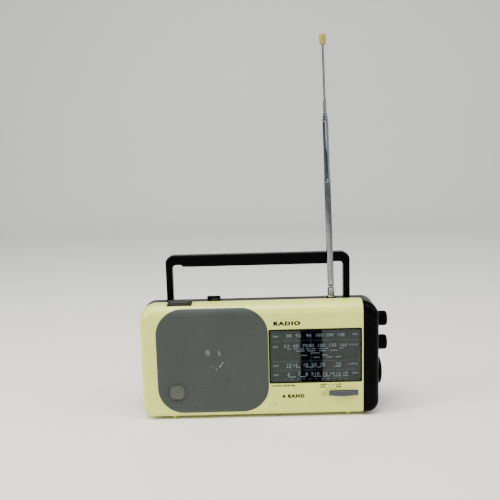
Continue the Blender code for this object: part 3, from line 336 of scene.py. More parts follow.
class Tree:
    """A node tree, with short names for what the surfaces here need."""

    def __init__(self, owner, place):
        owner.use_nodes = True
        self.tree = owner.node_tree
        self.place = self.node("ShaderNodeTexCoord").outputs[place]

    def node(self, kind, inputs=None, **settings):
        """A new node with its settings, and its inputs filled by name or number."""
        made = self.tree.nodes.new(kind)
        for key, value in settings.items():
            setattr(made, key, value)
        for key, value in (inputs or {}).items():
            self.fill(made.inputs[key], value)
        return made

    def fill(self, socket, value):
        if isinstance(value, bpy.types.NodeSocket):
            self.tree.links.new(value, socket)
        else:
            socket.default_value = value

    def noise(self, scale, detail=3.0, roughness=0.5, stretch=None):
        place = self.place
        if stretch:
            place = self.node("ShaderNodeMapping", {"Vector": place, "Scale": stretch}).outputs["Vector"]
        inputs = {"Vector": place, "Scale": scale, "Detail": detail, "Roughness": roughness}
        return self.node("ShaderNodeTexNoise", inputs).outputs["Fac"]

    def value_of(self, source):
        """A socket as it is, or the noise with the settings given."""
        return self.noise(*source) if isinstance(source, tuple) else source

    def spread(self, source, low, high, out_low=0.0, out_high=1.0):
        """Maps a value's or a noise's range to another range, held at its ends."""
        source = self.value_of(source)
        inputs = {"Value": source, "From Min": low, "From Max": high, "To Min": out_low, "To Max": out_high}
        return self.node("ShaderNodeMapRange", inputs).outputs["Result"]

    def math(self, operation, first, second):
        return self.node("ShaderNodeMath", {0: first, 1: second}, operation=operation).outputs["Value"]

    def mix(self, amount, first, second):
        """Mixes two colours, each a socket or a tone of three values up to 255."""
        first, second = (color(*tone) if isinstance(tone, tuple) else tone for tone in (first, second))
        inputs = {"Factor": amount, "A": first, "B": second}
        return self.node("ShaderNodeMix", inputs, data_type="RGBA").outputs["Result"]

    def specks(self, scale, size):
        """Small sparse dots, 1 inside them."""
        made = self.node("ShaderNodeTexVoronoi", {"Vector": self.place, "Scale": scale})
        return self.spread(made.outputs["Distance"], size, size * 1.6, 1.0, 0.0)

    def along(self, axis, *ranges):
        """The place along an axis, mapped from one range to another."""
        parts = self.node("ShaderNodeSeparateXYZ", {"Vector": self.place})
        return self.spread(parts.outputs[axis], *ranges)

    def spot(self, center, radii, angle=0.0, soft=0.5):
        """1 inside an ellipse on the front face at a radio position, falling to 0 at its edge."""
        x, z = center
        inputs = {
            "Vector": self.place, "Location": (ORIGIN.x + x, ORIGIN.y, z),
            "Rotation": (0, -radians(angle), 0), "Scale": (radii[0], 1.0, radii[1]),
        }
        mapping = self.node("ShaderNodeMapping", inputs, vector_type="TEXTURE")
        length = self.node("ShaderNodeVectorMath", {0: mapping.outputs["Vector"]}, operation="LENGTH")
        return self.spread(length.outputs["Value"], 1.0 - soft, 1.0, 1.0, 0.0)


class Paint(Tree):
    """A material with a Principled surface."""

    def __init__(self, name):
        self.material = bpy.data.materials.new(name)
        super().__init__(self.material, "Object")
        self.shader = self.tree.nodes["Principled BSDF"]

    def set(self, **values):
        for key, value in values.items():
            self.fill(self.shader.inputs[key.replace("_", " ")], value)

    def bump(self, source, distance, strength=1.0):
        """Adds a relief, from a value or a noise, to the ones before it."""
        inputs = {"Height": self.value_of(source), "Distance": distance, "Strength": strength}
        before = self.shader.inputs["Normal"].links
        if before:
            inputs["Normal"] = before[0].from_socket
        self.set(Normal=self.node("ShaderNodeBump", inputs).outputs["Normal"])


def make_cream():
    paint = Paint("cream plastic")
    paint.set(IOR=1.49, Coat_Weight=0.3, Coat_Roughness=0.16)
    cloudy = paint.spread((26, 4, 0.6), 0.35, 0.68)
    shade = paint.mix(cloudy, (216, 225, 106), (205, 214, 99))
    grime = paint.spread((110, 6, 0.7), 0.60, 0.78, 0.0, 0.3)
    shade = paint.mix(grime, shade, (176, 178, 84))
    dirt = paint.math("MULTIPLY", paint.specks(85, 0.055), paint.spread((30, 1), 0.5, 0.56))
    shade = paint.mix(dirt, shade, (92, 86, 62))
    paint.set(Base_Color=shade, Roughness=paint.spread((160, 5, 0.65), 0.3, 0.7, 0.28, 0.42))
    paint.bump((2600, 2, 0.5), 0.008 * MM, 0.6)
    paint.bump((45, 3, 0.5), 0.05 * MM, 0.35)
    return paint.material


def make_black():
    paint = Paint("black plastic")
    paint.set(IOR=1.5, Specular_IOR_Level=0.035)
    shade = paint.mix(paint.spread((60, 5, 0.7), 0.35, 0.7), (1, 1, 2), (4, 4, 5))
    scuffs = paint.spread((240, 5, 0.75, (1, 1, 0.3)), 0.66, 0.8, 0.0, 0.5)
    shade = paint.mix(scuffs, shade, (20, 20, 20))
    patches = paint.spread((55, 2), 0.5, 0.62, 0.0, 0.25)
    dust = paint.math("MULTIPLY", paint.specks(260, 0.08), patches)
    shade = paint.mix(dust, shade, (32, 31, 29))
    paint.set(Base_Color=shade, Roughness=paint.spread((130, 5, 0.7), 0.3, 0.7, 0.2, 0.3))
    paint.bump((2600, 2, 0.5), 0.003 * MM, 0.6)
    return paint.material


def make_grey_sheet():
    """Enamelled grille sheet with the dents and scratches of use, and painted shade round the pale disc's
    patch.
    """
    paint = Paint("grey enamelled sheet")
    paint.set(IOR=1.5, Specular_IOR_Level=0.3)
    shade = paint.mix(paint.spread((18, 4, 0.6), 0.35, 0.7), (59, 65, 62), (54, 59, 56))
    # Painted shade: a soft dark disc darkens the sheet over and round the pale disc's patch.
    painted_shade_halo = paint.spot(PATCH, mm(12, 12), 0.0, 0.35)
    shade = paint.mix(paint.math("MULTIPLY", painted_shade_halo, 0.9), shade, (36, 40, 36))
    rubbed = paint.spread((420, 5, 0.75, (1, 1, 0.25)), 0.56, 0.75, 0.0, 0.35)
    shade = paint.mix(rubbed, shade, (92, 96, 96))
    for center, radii, angle, amount, tone in GRILLE_MARKS:
        ragged = paint.spread((900, 3, 0.7), 0.25, 0.5)
        strength = paint.math("MULTIPLY", ragged, amount)
        mark = paint.math("MULTIPLY", paint.spot(center, radii, angle, 0.7), strength)
        shade = paint.mix(mark, shade, tone)
    paint.set(Base_Color=shade, Roughness=paint.spread((200, 4, 0.6), 0.3, 0.7, 0.42, 0.6))
    paint.bump((1800, 3, 0.5), 0.02 * MM, 0.5)
    for center, radii, angle, _, _ in GRILLE_MARKS[:2]:
        paint.bump(paint.spot(center, (radii[0] * 1.6, radii[1] * 1.6), angle, 1.0), 0.5 * MM, 0.6)
    return paint.material


def make_chrome():
    paint = Paint("chrome tube")
    paint.set(Metallic=1.0)
    shade = paint.mix(paint.spread((90, 5, 0.7), 0.4, 0.72), (140, 142, 147), (112, 114, 118))
    paint.set(Base_Color=shade, Roughness=paint.spread((500, 4, 0.7, (1, 1, 0.1)), 0.3, 0.75, 0.03, 0.10))
    paint.bump((1500, 2, 0.5, (1, 1, 0.05)), 0.002 * MM, 0.5)
    return paint.material


def make_steel():
    paint = Paint("plated steel")
    paint.set(Metallic=0.9)
    shade = paint.mix(paint.noise(300, 4, 0.6), (150, 150, 148), (118, 117, 112))
    paint.set(Base_Color=shade, Roughness=paint.spread((700, 3, 0.6), 0.3, 0.7, 0.28, 0.45))
    paint.bump((2200, 2, 0.5), 0.01 * MM, 0.6)
    return paint.material


def make_plain(name, tone, second, roughness, scale, metallic=0.0, bump=0.02 * MM, gloss=0.5):
    """A moulded, printed or pressed surface in two close tones."""
    paint = Paint(name)
    paint.set(Metallic=metallic, Specular_IOR_Level=gloss)
    shade = paint.mix(paint.spread((scale, 4, 0.6), 0.35, 0.7), tone, second)
    paint.set(Base_Color=shade, Roughness=paint.spread((scale * 2, 3, 0.6), 0.3, 0.7, *roughness))
    paint.bump((scale * 9, 2, 0.5), bump, 0.6)
    return paint.material


def make_acrylic():
    """Clear smoked acrylic: what is behind shows straight through it, under a mirror-like surface."""
    paint = Paint("smoked acrylic")
    clear = paint.node("ShaderNodeBsdfTransparent", {"Color": color(196, 202, 204)})
    smear = paint.spread((70, 5, 0.7), 0.35, 0.75, 0.015, 0.07)
    gloss = paint.node("ShaderNodeBsdfGlossy", {"Color": (0.86, 1.0, 0.98, 1), "Roughness": smear})
    fresnel = paint.node("ShaderNodeFresnel", {"IOR": 1.5})
    behind = paint.node("ShaderNodeNewGeometry").outputs["Backfacing"]
    shine = paint.math("MULTIPLY", fresnel.outputs["Fac"], paint.math("SUBTRACT", 1, behind))
    blend = paint.node("ShaderNodeMixShader", {0: shine, 1: clear.outputs["BSDF"], 2: gloss.outputs["BSDF"]})
    paint.fill(paint.tree.nodes["Material Output"].inputs["Surface"], blend.outputs["Shader"])
    paint.tree.nodes.remove(paint.shader)
    return paint.material


# Marks on the grille: (x, z), (half length, half height), turn in degrees, strength, colour
GRILLE_MARKS = (
    (mm(-54.1, 72.4), mm(3.3, 4.2), 15, 0.75, (126, 130, 127)),
    (mm(-42.1, 71.4), mm(1.8, 4.2), 14, 0.75, (120, 124, 121)),
    (mm(-39.4, 60.4), mm(0.5, 3.9), -38, 0.85, (170, 172, 166)),
    (mm(-41.7, 57.4), mm(0.9, 0.9), 0, 1.0, (206, 208, 200)),
    (mm(-45.6, 54.4), mm(1.2, 0.7), 10, 0.8, (160, 162, 156)),
    (mm(-50.6, 57.0), mm(3.4, 1.0), 8, 0.5, (104, 108, 105)),
    (mm(-33.8, 41.9), mm(1.9, 1.2), 0, 1.0, (20, 22, 21)),
    (mm(-65.5, 96.3), mm(1.4, 4.0), 0, 0.6, (56, 60, 58)),
    (mm(-26.5, 114.0), mm(1.6, 1.6), 0, 0.7, (40, 46, 46)),
)

CREAM = make_cream()
BLACK = make_black()
GREY_SHEET = make_grey_sheet()
CHROME = make_chrome()
STEEL = make_steel()
WINDOW = make_acrylic()
DARK_CLOTH = make_plain("black cloth", (58, 61, 58), (70, 73, 70), (0.85, 1.0), 900, gloss=0.1)
GASKET = make_plain("black rubber", (6, 6, 6), (11, 11, 11), (0.75, 0.9), 700, gloss=0.15)
DIAL_BLACK = make_plain("dial black", (16, 17, 21), (21, 22, 26), (0.6, 0.75), 150, 0.0, 0.002 * MM, 0.2)
DIAL_PRINT = make_plain("dial print", (250, 252, 254), (238, 240, 244), (0.5, 0.7), 900)
DIAL_LINE = make_plain("dial lines", (160, 172, 172), (140, 152, 152), (0.5, 0.7), 900)
CASE_PRINT = make_plain("dark print", (6, 6, 4), (12, 11, 8), (0.6, 0.75), 1500, gloss=0.12)
POINTER = make_plain("violet paint", (104, 84, 196), (92, 72, 180), (0.4, 0.6), 400, gloss=0.2)
SLIDER = make_plain("slider plastic", (48, 47, 60), (56, 56, 66), (0.26, 0.4), 300)
BUTTON = make_plain("button plastic", (33, 36, 33), (28, 31, 28), (0.5, 0.65), 300, gloss=0.3)
TIP = make_plain("yellowed tip", (152, 141, 64), (134, 122, 51), (0.35, 0.55), 260, gloss=0.3)
PALE = make_plain("pale disc", (200, 203, 182), (184, 187, 164), (0.5, 0.7), 800, gloss=0.2)
GREY_PLASTIC = make_plain("grey plastic", (58, 58, 59), (66, 66, 66), (0.4, 0.6), 220)
WHITE_PLASTIC = make_plain("white plastic", (216, 213, 202), (206, 202, 188), (0.35, 0.5), 240)
CLEAR_PLASTIC = make_plain("milky plastic", (190, 200, 205), (176, 188, 194), (0.2, 0.3), 260)
FERRITE = make_plain("ferrite", (36, 36, 38), (28, 28, 29), (0.55, 0.8), 900)
PAPER = make_plain("cone paper", (32, 30, 28), (24, 22, 21), (0.85, 1.0), 1400, 0.0, 0.08 * MM)
CORD = make_plain("dial cord", (206, 200, 184), (180, 172, 150), (0.8, 0.95), 2600)
BOARD = make_plain("circuit board", (142, 98, 50), (122, 84, 42), (0.5, 0.7), 500)
JACKET = make_plain("cell jacket", (40, 60, 112), (34, 52, 98), (0.3, 0.45), 300)

# ---------------------------------------------------------------- the case's own shapes


def case_outline(inset=0.0):
    """The case seen from the front, taken in by an inset."""
    half = CASE_HALF - inset
    top = max(TOP_CORNER - inset, MM)
    bottom = max(BOTTOM_CORNER - inset, MM)
    low = CASE_BOTTOM + inset
    high = CASE_TOP - inset
    corners = [(-half, low, bottom), (-half, high, top), (half, high, top), (half, low, bottom)]
    return rounded_outline(corners, 14)


def case_body(inset, depth, steps=12):
    """The whole case as a solid with its rounded front edge, taken in by an inset on every side."""
    outline = case_outline(inset)
    bm = bmesh.new()
    rings = [[] for _ in range(steps + 2)]
    for index, point in enumerate(outline):
        before = (point - outline[index - 1]).normalized()
        after = (outline[(index + 1) % len(outline)] - point).normalized()
        along = before + after
        out = Vector((-along.y, along.x)).normalized()
        up = max(out.y, 0) ** 2
        down = max(-out.y, 0) ** 2
        radius = FILLET_SIDE * (1 - up - down) + FILLET_TOP * up + FILLET_BOTTOM * down - inset
        for step in range(steps + 1):
            angle = pi / 2 * step / steps
            spot = point - out * radius * (1 - sin(angle))
            rings[step].append(bm.verts.new((spot.x, inset + radius * (1 - cos(angle)), spot.y)))
        rings[-1].append(bm.verts.new((point.x, depth, point.y)))
    skin(bm, rings)
    return bm


def side_profile(inset=0.0):
    """The case seen from its end: flat roof, sloping upper back, upright lower back."""
    corners = [
        (-FAR, CASE_BOTTOM + inset, 0), (-FAR, CASE_TOP - inset, 0),
        (ROOF_DEPTH - inset / 2, CASE_TOP - inset, 3 * MM),
        (CASE_DEPTH - inset, SLOPE_END - inset / 2, 8 * MM),
        (CASE_DEPTH - inset, CASE_BOTTOM + inset, 5 * MM - inset),
    ]
    return rounded_outline(corners)


def side_limits(target, inset=0.0):
    """Takes off what lies outside the side profile."""
    carve(target, extruded(side_profile(inset), -FAR, FAR, "yz"), "INTERSECT")


def outline_round(low, high, grow, radius, steps):
    """A rectangle round a box seen from the front, grown on each side."""
    return rectangle(low.x - grow, high.x + grow, low.z - grow, high.z + grow, radius, steps)


def grille_outline(grow):
    return outline_round(GRILLE_LOW, GRILLE_HIGH, grow, GRILLE_CORNER + grow, 16)


def window_outline(grow):
    return outline_round(WINDOW_LOW, WINDOW_HIGH, grow, 1.2 * MM + max(grow, 0), 4)


def add_feet(shell, depth, radius, height):
    """Two round feet moulded on at a depth from the front."""
    corners = [(0, 0, 0), (radius - 0.6 * MM, 0, 0.8 * MM), (radius, height, 0), (0, height, 0)]
    for side in (-1, 1):
        carve(shell, turned(corners, (side * FOOT_X, depth, 0), sides=32), "UNION")


def make_front_shell():
    shell = as_object("front_shell", case_body(0, FRONT_DEPTH))
    carve(shell, box((CAP_SEAM - SEAM / 2, -FAR, -FAR), (FAR, FAR, FAR)))
    carve(shell, case_body(FRONT_WALL, FRONT_DEPTH + MM, 4))
    seat = prism("seat", grille_outline(GAP), -MM, FRONT_DEPTH)
    carve(seat, case_body(GRILLE_SHEET + GAP, FRONT_DEPTH + MM))
    carve(shell, taken_from(seat))
    ledge, wall, hole_top, hole_corner = mm(6, 4, 106, 20)
    left, right = GRILLE_LOW.x + ledge, GRILLE_HIGH.x - ledge
    hole = rectangle(left, right, GRILLE_LOW.z + ledge, hole_top, hole_corner)
    switch = middle_of("band_switch_knob").z
    slot = rectangle(SLOT_LEFT, SLOT_RIGHT, switch - SLOT_HALF, switch + SLOT_HALF, MM, 4)
    window_seat = window_outline(0.5 * MM)
    window_hole = window_outline(-1.3 * MM)
    depths = ((hole, wall), (window_seat, WINDOW_HIGH.y + GAP), (window_hole, wall), (slot, 1.8 * MM))
    for outline, depth in depths:
        cut(shell, outline, -MM, depth)
    low, high = local("power_button")
    notch_bottom = 115 * MM
    notch = (low.x - MM, low.y - 0.5 * MM, notch_bottom)
    carve(shell, box(notch, (high.x + MM, FRONT_DEPTH + MM, FAR)))
    ease_edges(shell, 0.22 * MM)
    add_feet(shell, FRONT_FOOT_Y, 2.6 * MM, CASE_BOTTOM + 2 * MM)
    finish_piece(shell, CREAM, ["front_case"])


def make_rear_shell():
    start = FRONT_DEPTH + SEAM
    shell = prism("rear_shell", case_outline(), start, CASE_DEPTH)
    side_limits(shell)
    carve(shell, box((CAP_SEAM - SEAM / 2, -FAR, -FAR), (FAR, FAR, FAR)))
    hollow = prism("hollow", case_outline(REAR_WALL), start - MM, CASE_DEPTH)
    side_limits(hollow, REAR_WALL)
    kept_low = (-RECESS_HALF - REAR_WALL, RECESS_FRONT - REAR_WALL, RECESS_BOTTOM - REAR_WALL)
    carve(hollow, box(kept_low, (RECESS_HALF + REAR_WALL, FAR, FAR)))
    carve(shell, taken_from(hollow))
    recess = rectangle(-RECESS_HALF, RECESS_HALF, RECESS_BOTTOM, FAR, 6 * MM)
    cut(shell, recess, RECESS_FRONT, FAR)
    door = outline_round(DOOR_LOW, DOOR_HIGH, GAP, 2 * MM, 6)
    cut(shell, door, CASE_DEPTH - 2 * REAR_WALL, FAR)
    stud_start = (ANTENNA_X, ANTENNA_Y, CASE_TOP - 2 * REAR_WALL)
    carve(shell, disc(stud_start, 3 * REAR_WALL, STUD_HOLE))
    reach = RECESS_HALF + 2 * REAR_WALL
    carve(shell, disc((-reach, HANDLE_Y, PIVOT_Z), 2 * reach, PIVOT_HOLE, ALONG_X))
    for name in ("earphone_jack", "dc_jack"):
        y, z, radius = round_part(name)
        carve(shell, disc((-CASE_HALF - MM, y, z), 5 * MM, radius - 1.2 * MM, ALONG_X))
    for name in SCREWS:
        x, _, z = middle_of(name)
        if x < CAP_SEAM:
            carve(shell, screw_seat(x, z))
    half, groove_top, apart = RECESS_HALF - 22 * MM, 80 * MM, 4 * MM
    for row in range(5):
        height = groove_top - apart * row
        groove = rectangle(-half, half, height, height + 1.2 * MM, 0.5 * MM, 3)
        cut(shell, groove, RECESS_FRONT - 0.6 * MM, RECESS_FRONT + MM)
    ease_edges(shell, 0.3 * MM)
    add_feet(shell, REAR_FOOT_Y, 3.9 * MM, CASE_BOTTOM + MM)
    finish_piece(shell, BLACK, ["rear_case"])


def make_end_cap():
    cap = as_object("end_cap", case_body(0, CASE_DEPTH))
    side_limits(cap)
    carve(cap, box((-FAR, -FAR, -FAR), (CAP_SEAM + SEAM / 2, FAR, FAR)))
    hollow = as_object("hollow", case_body(REAR_WALL, CASE_DEPTH, 4))
    side_limits(hollow, REAR_WALL)
    carve(cap, taken_from(hollow))
    for name in ("volume_knob", "tone_knob", "tuning_knob"):
        y, z, radius = round_part(name)
        carve(cap, disc((CASE_HALF - 5 * MM, y, z), 8 * MM, SHAFT_HOLE, ALONG_X))
        carve(cap, disc((CASE_HALF - 0.35 * MM, y, z), 8 * MM, radius + KNOB_DISH, ALONG_X, 64))
    for name in SCREWS:
        x, _, z = middle_of(name)
        if x > CAP_SEAM:
            carve(cap, screw_seat(x, z))
    ease_edges(cap, 0.3 * MM)
    finish_piece(cap, BLACK, ["right_end_cap"])


def screw_seat(x, z):
    """A counterbored screw hole in the upright lower back."""
    profile = [mm(0, -1, 0), mm(3.4, -1, 0), mm(3.4, 2.3, 0), mm(1.9, 2.3, 0), mm(1.9, 6, 0), mm(0, 6, 0)]
    return turned(profile, (x, CASE_DEPTH + MM, z), INTO_BACK, 32)


def make_battery_cover():
    low, high = DOOR_LOW, DOOR_HIGH
    outline = outline_round(low, high, 0, 1.7 * MM, 6)
    cover = prism("battery_cover", outline, low.y, high.y)
    middle = (low.x + high.x) / 2
    for index in range(5):
        bottom = high.z - 4.6 * MM - index * 1.9 * MM
        half = 13 * MM - index * 2.2 * MM
        rib = rectangle(middle - half, middle + half, bottom, bottom + MM, 0.45 * MM, 3)
        cut(cover, rib, high.y - 0.7 * MM, high.y + MM)
    ease_edges(cover, 0.25 * MM)
    finish_piece(cover, BLACK, ["battery_door"], body="battery_door")


def grille_arc(height):
    """The length along the front's surface, rounded top and all, from the table up to a height."""
    start = CASE_TOP - FILLET_TOP
    if height <= start:
        return height
    return start + FILLET_TOP * asin((height - start) / FILLET_TOP)


def on_front(x, arc, depth):
    """The place on the front at a length along its surface, sunk by a depth."""
    start = CASE_TOP - FILLET_TOP
    if arc <= start:
        return Vector((x, depth, arc))
    angle = (arc - start) / FILLET_TOP
    radius = FILLET_TOP - depth
    return Vector((x, FILLET_TOP - radius * cos(angle), start + radius * sin(angle)))


def flat_grille(grow):
    """The grille's outline with its heights as lengths along the curved front."""
    return [Vector((p.x, grille_arc(p.y))) for p in grille_outline(grow)]


def clip_to(bm, outline):
    """Keeps what lies inside a convex outline in a flat x, z mesh."""
    middle = sum(outline, Vector((0, 0))) / len(outline)
    for first, second in zip(outline, outline[1:] + outline[:1]):
        along = second - first
        if along.length < 0.001 * MM:
            continue
        out = Vector((along.y, -along.x))
        if out.dot(first - middle) < 0:
            out = -out
        bmesh.ops.bisect_plane(
            bm, geom=bm.verts[:] + bm.edges[:] + bm.faces[:], plane_co=(first.x, 0, first.y),
            plane_no=(out.x, 0, out.y), clear_outer=True,
        )


def near_patch(x, z):
    return hypot(x - PATCH[0], z - PATCH[1]) < PATCH_RADIUS


def inside(outline, x, z):
    """True if a point is on the inner side of every edge of a convex clockwise outline."""
    for first, second in zip(outline, outline[1:] + outline[:1]):
        along = second - first
        if along.x * (z - first.y) - along.y * (x - first.x) > 0:
            return False
    return True


def make_grille():
    """The perforated sheet: square cells with eight-sided holes, clipped to the outline and bent over."""
    edge = flat_grille(0.2 * MM)
    field = flat_grille(-1.3 * MM)
    left = GRILLE_LOW.x - HOLE_PITCH
    bottom = GRILLE_LOW.z - HOLE_PITCH
    columns = ceil((max(p.x for p in edge) - left) / HOLE_PITCH)
    rows = ceil((max(p.y for p in edge) - bottom) / HOLE_PITCH)
    bm = bmesh.new()
    corner = {}
    for column in range(columns + 1):
        for row in range(rows + 1):
            spot = (left + column * HOLE_PITCH, 0, bottom + row * HOLE_PITCH)
            corner[column, row] = bm.verts.new(spot)
    for column in range(columns):
        for row in range(rows):
            square = [corner[column + a, row + b] for a, b in ((0, 0), (1, 0), (1, 1), (0, 1))]
            x = left + (column + 0.5) * HOLE_PITCH
            z = bottom + (row + 0.5) * HOLE_PITCH
            if not inside(field, x, z):
                bm.faces.new(square)
                continue
            ring = []
            radius = PIP_RADIUS + 0.03 * MM if near_patch(x, z) else HOLE_RADIUS
            for step in range(8):
                angle = radians(-157.5 + 45 * step)
                ring.append(bm.verts.new((x + radius * cos(angle), 0, z + radius * sin(angle))))
            for side in range(4):
                after = (side + 1) % 4
                near = ring[2 * side : 2 * side + 2]
                bm.faces.new((square[side], square[after], ring[(2 * side + 2) % 8], near[1]))
                bm.faces.new((square[side], near[1], near[0]))
    grille = bent_sheet("grille", bm, edge, 0, SHEET)
    finish_piece(grille, GREY_SHEET, ["speaker_grille"], even=False)


def bent_sheet(name, bm, edge, depth, thickness):
    """A flat x, z mesh clipped to an outline, laid on the front's curve at a depth and thickened."""
    clip_to(bm, edge)
    for vert in bm.verts:
        vert.co = on_front(vert.co.x, vert.co.z, depth)
    made = as_object(name, bm)
    if made.data.polygons[0].normal.y > 0:
        made.data.flip_normals()
    sheet = made.modifiers.new("sheet", "SOLIDIFY")
    sheet.thickness = thickness
    sheet.offset = -1
    settle(made)
    return made


def make_lining():
    """The dark cloth glued behind the perforated sheet, open where the pale disc sits."""
    edge = flat_grille(-0.3 * MM)
    bm = bmesh.new()
    step = 3 * MM
    across = ceil((GRILLE_HIGH.x - GRILLE_LOW.x) / step)
    up = ceil((grille_arc(GRILLE_HIGH.z) - GRILLE_LOW.z) / step)
    grid = []
    for a in range(across + 1):
        x = GRILLE_LOW.x + a * step
        grid.append([bm.verts.new((x, 0, GRILLE_LOW.z + b * step)) for b in range(up + 1)])
    for near, far in zip(grid, grid[1:]):
        for b in range(up):
            bm.faces.new((near[b], far[b], far[b + 1], near[b + 1]))
    lining = bent_sheet("grille_lining", bm, edge, SHEET + 0.06 * MM, 0.4 * MM)
    x, z = PATCH
    carve(lining, disc((x, -MM, z), 4 * MM, 8.9 * MM, ALONG_Y, 64))
    finish_piece(lining, DARK_CLOTH, even=False)


def make_pale_disc():
    """The pale disc just behind the grille's lower left, whose pips fill the holes as bright dots."""
    profile = [mm(0, 0, 0), mm(8.6, 0, 0.3), mm(8.6, 0.55, 0.1), mm(0, 0.55, 0)]
    x, z = PATCH
    bm = turned(profile, (x, SHEET + 0.02 * MM, z), ALONG_Y)
    end = SHEET + 0.1 * MM
    pip = [(0, 0, 0), (PIP_RADIUS, 0.06 * MM, 0.1 * MM), (PIP_RADIUS, end, 0), (0, end, 0)]
    reach = ceil(PATCH_RADIUS / HOLE_PITCH) + 1
    first_x = GRILLE_LOW.x + (floor((x - GRILLE_LOW.x) / HOLE_PITCH) + 0.5) * HOLE_PITCH
    first_z = GRILLE_LOW.z + (floor((z - GRILLE_LOW.z) / HOLE_PITCH) + 0.5) * HOLE_PITCH
    for column in range(-reach, reach + 1):
        for row in range(-reach, reach + 1):
            spot = (first_x + column * HOLE_PITCH, 0, first_z + row * HOLE_PITCH)
            if near_patch(spot[0], spot[2]):
                add_solid(bm, turned(pip, spot, ALONG_Y, 16, 2))
    finish_piece(as_object("grille_insert", bm), PALE)


def make_window():
    end = WINDOW_HIGH.y
    gasket = prism("window_gasket", window_outline(0.35 * MM), 0.25 * MM, end)
    cut(gasket, window_outline(-GASKET_WIDTH), -MM, end + MM)
    back = prism("back", window_outline(0), end, end + 0.9 * GAP)
    cut(back, window_outline(-2.7 * MM), end - MM, end + MM)
    carve(gasket, taken_from(back), "UNION")
    ease_edges(gasket, 0.15 * MM)
    finish_piece(gasket, GASKET)
    pane = prism("dial_pane", window_outline(-GASKET_WIDTH - 0.05 * MM), 0, end)
    ease_edges(pane, 0.12 * MM)
    finish_piece(pane, WINDOW, ["dial_window"])
    plate = as_object("dial_plate", box(SCALE_LOW, SCALE_HIGH))
    ease_edges(plate, 0.2 * MM)
    finish_piece(plate, DIAL_BLACK, ["dial_scale"])


def letters(name, entries, front, material, weight):
    """Printed words and numbers on a plane facing the front: (text, middle x, middle z, height, width)."""
    bm = bmesh.new()
    for text, x, z, height, width in entries:
        font = bpy.data.curves.new("letters", "FONT")
        font.body = text
        font.extrude = 0.5
        font.resolution_u = 3
        font.offset = weight
        font.space_character = 1 + 3 * weight
        sign = placed("letters", font)
        bpy.context.view_layer.update()
        mesh = bpy.data.meshes.new_from_object(sign.evaluated_get(bpy.context.evaluated_depsgraph_get()))
        bpy.data.objects.remove(sign, do_unlink=True)
        bpy.data.curves.remove(font)
        spots = [v.co for v in mesh.vertices]
        low = Vector([min(co[axis] for co in spots) for axis in range(3)])
        high = Vector([max(co[axis] for co in spots) for axis in range(3)])
        size = high - low
        scale = Matrix.Diagonal((width / size.x, height / size.y, PRINT / size.z, 1))
        center = Matrix.Translation(-(low + high) / 2)
        mesh.transform(Matrix.Translation((x, front + PRINT / 2, z)) @ INTO_BACK @ scale @ center)
        bm.from_mesh(mesh)
        bpy.data.meshes.remove(mesh)
    bmesh.ops.remove_doubles(bm, verts=bm.verts, dist=0.002 * MM)
    made = as_object(name, bm)
    finish_piece(made, material, even=False)


def strips(name, entries, front, material):
    """Printed lines and dashes: (middle x, middle z, width, height)."""
    bm = bmesh.new()
    for x, z, width, height in entries:
        low = (x - width / 2, front, z - height / 2)
        add_solid(bm, box(low, (x + width / 2, front + PRINT, z + height / 2)))
    finish_piece(as_object(name, bm), material, even=False)


def number(text, x, z):
    """A scale number in its wide figures, of which the 1 is narrow."""
    figure, saved_by_one, height = 2.7, 1.1, 3.6 * MM
    width = (figure * len(text) - saved_by_one * text.count("1")) * MM
    return (text, x * MM, z, height, width)


def make_dial_print():
    front = WINDOW_HIGH.y + 0.02 * MM
    rows = (
        (FM_Z, ((88, 30.3), (92, 40.2), (96, 50.9), (100, 61.9), (104, 72.9), (108, 84.3))),
        (MW_Z, ((53, 27.7), (60, 37.3), (70, 46.9), (80, 53.4), (100, 63.7), (130, 75.4), (160, 86.9))),
        (LW_Z, ((15, 30.3), (16, 36.9), (18, 47.6), (20, 56.0), (22, 64.8), (25, 81.7))),
        (SW_Z, ((6, 29.6), (7, 40.6), (8, 48.3), (9, 54.2), (10, 59.3), (12, 67.7), (14, 75.1))),
        (SW_Z, ((16, 81.7), (18, 88.7))),
    )
    numbers = [number(str(value), x, z) for z, row in rows for value, x in row]
    letters("dial_numbers", numbers, front, DIAL_PRINT, 0.02)
    names = []
    bands = (("FM", "MHz", FM_Z), ("MW", "x10kHz", MW_Z), ("LW", "x10kHz", LW_Z), ("SW", "MHz", SW_Z))
    for text, unit, z in bands:
        names.append((text, 16.4 * MM, z - 0.6 * MM, 2.2 * MM, 5.4 * MM))
        wide = 1.45 * MM * len(unit) + 1.2 * MM
        names.append((unit, 101.6 * MM - wide / 2, z + 0.2 * MM, 2.0 * MM, wide))
    letters("dial_band_names", names, front, DIAL_PRINT, 0.03)
    first, apart = 26.4, 6.3
    columns = [(first + apart * step) * MM for step in range(11)]
    lines = [(57.8 * MM, z, 88 * MM, 0.35 * MM) for z in DIVIDERS]
    lines += [(x, z + MM, 0.35 * MM, 0.9 * MM) for z in DIVIDERS for x in columns]
    strips("dial_rules", lines, front, DIAL_LINE)
    marks = [(x, LOG_Z, 0.9 * MM, 1.1 * MM) for x in columns]
    for z, row in STATION_DASHES:
        marks += [mm(x, z, width, 0.85) for x, width in row]
    strips("dial_marks", marks, front, DIAL_PRINT)


def make_pointer():
    low, high = local("dial_pointer")
    x, top, bar = (low.x + high.x) / 2, high.z - 3 * MM, high.x - 8 * MM
    left, right = x - 0.5 * MM, x + 0.5 * MM
    blade = [(left, low.z, 0.35 * MM), (left, top, 0), (bar, top, 0), (bar, high.z, 0.4 * MM)]
    blade += [(high.x, high.z, 0.4 * MM), (high.x, top, 0), (right, top, 0), (right, low.z, 0.35 * MM)]
    pointer = prism("scale_pointer", rounded_outline(blade, 3), low.y, low.y + MM)
    carve(pointer, box((low.x, low.y + 0.5 * MM, top + 0.2 * MM), high), "UNION")
    ease_edges(pointer, 0.15 * MM)
    finish_piece(pointer, POINTER, ["dial_pointer"], body="pointer")


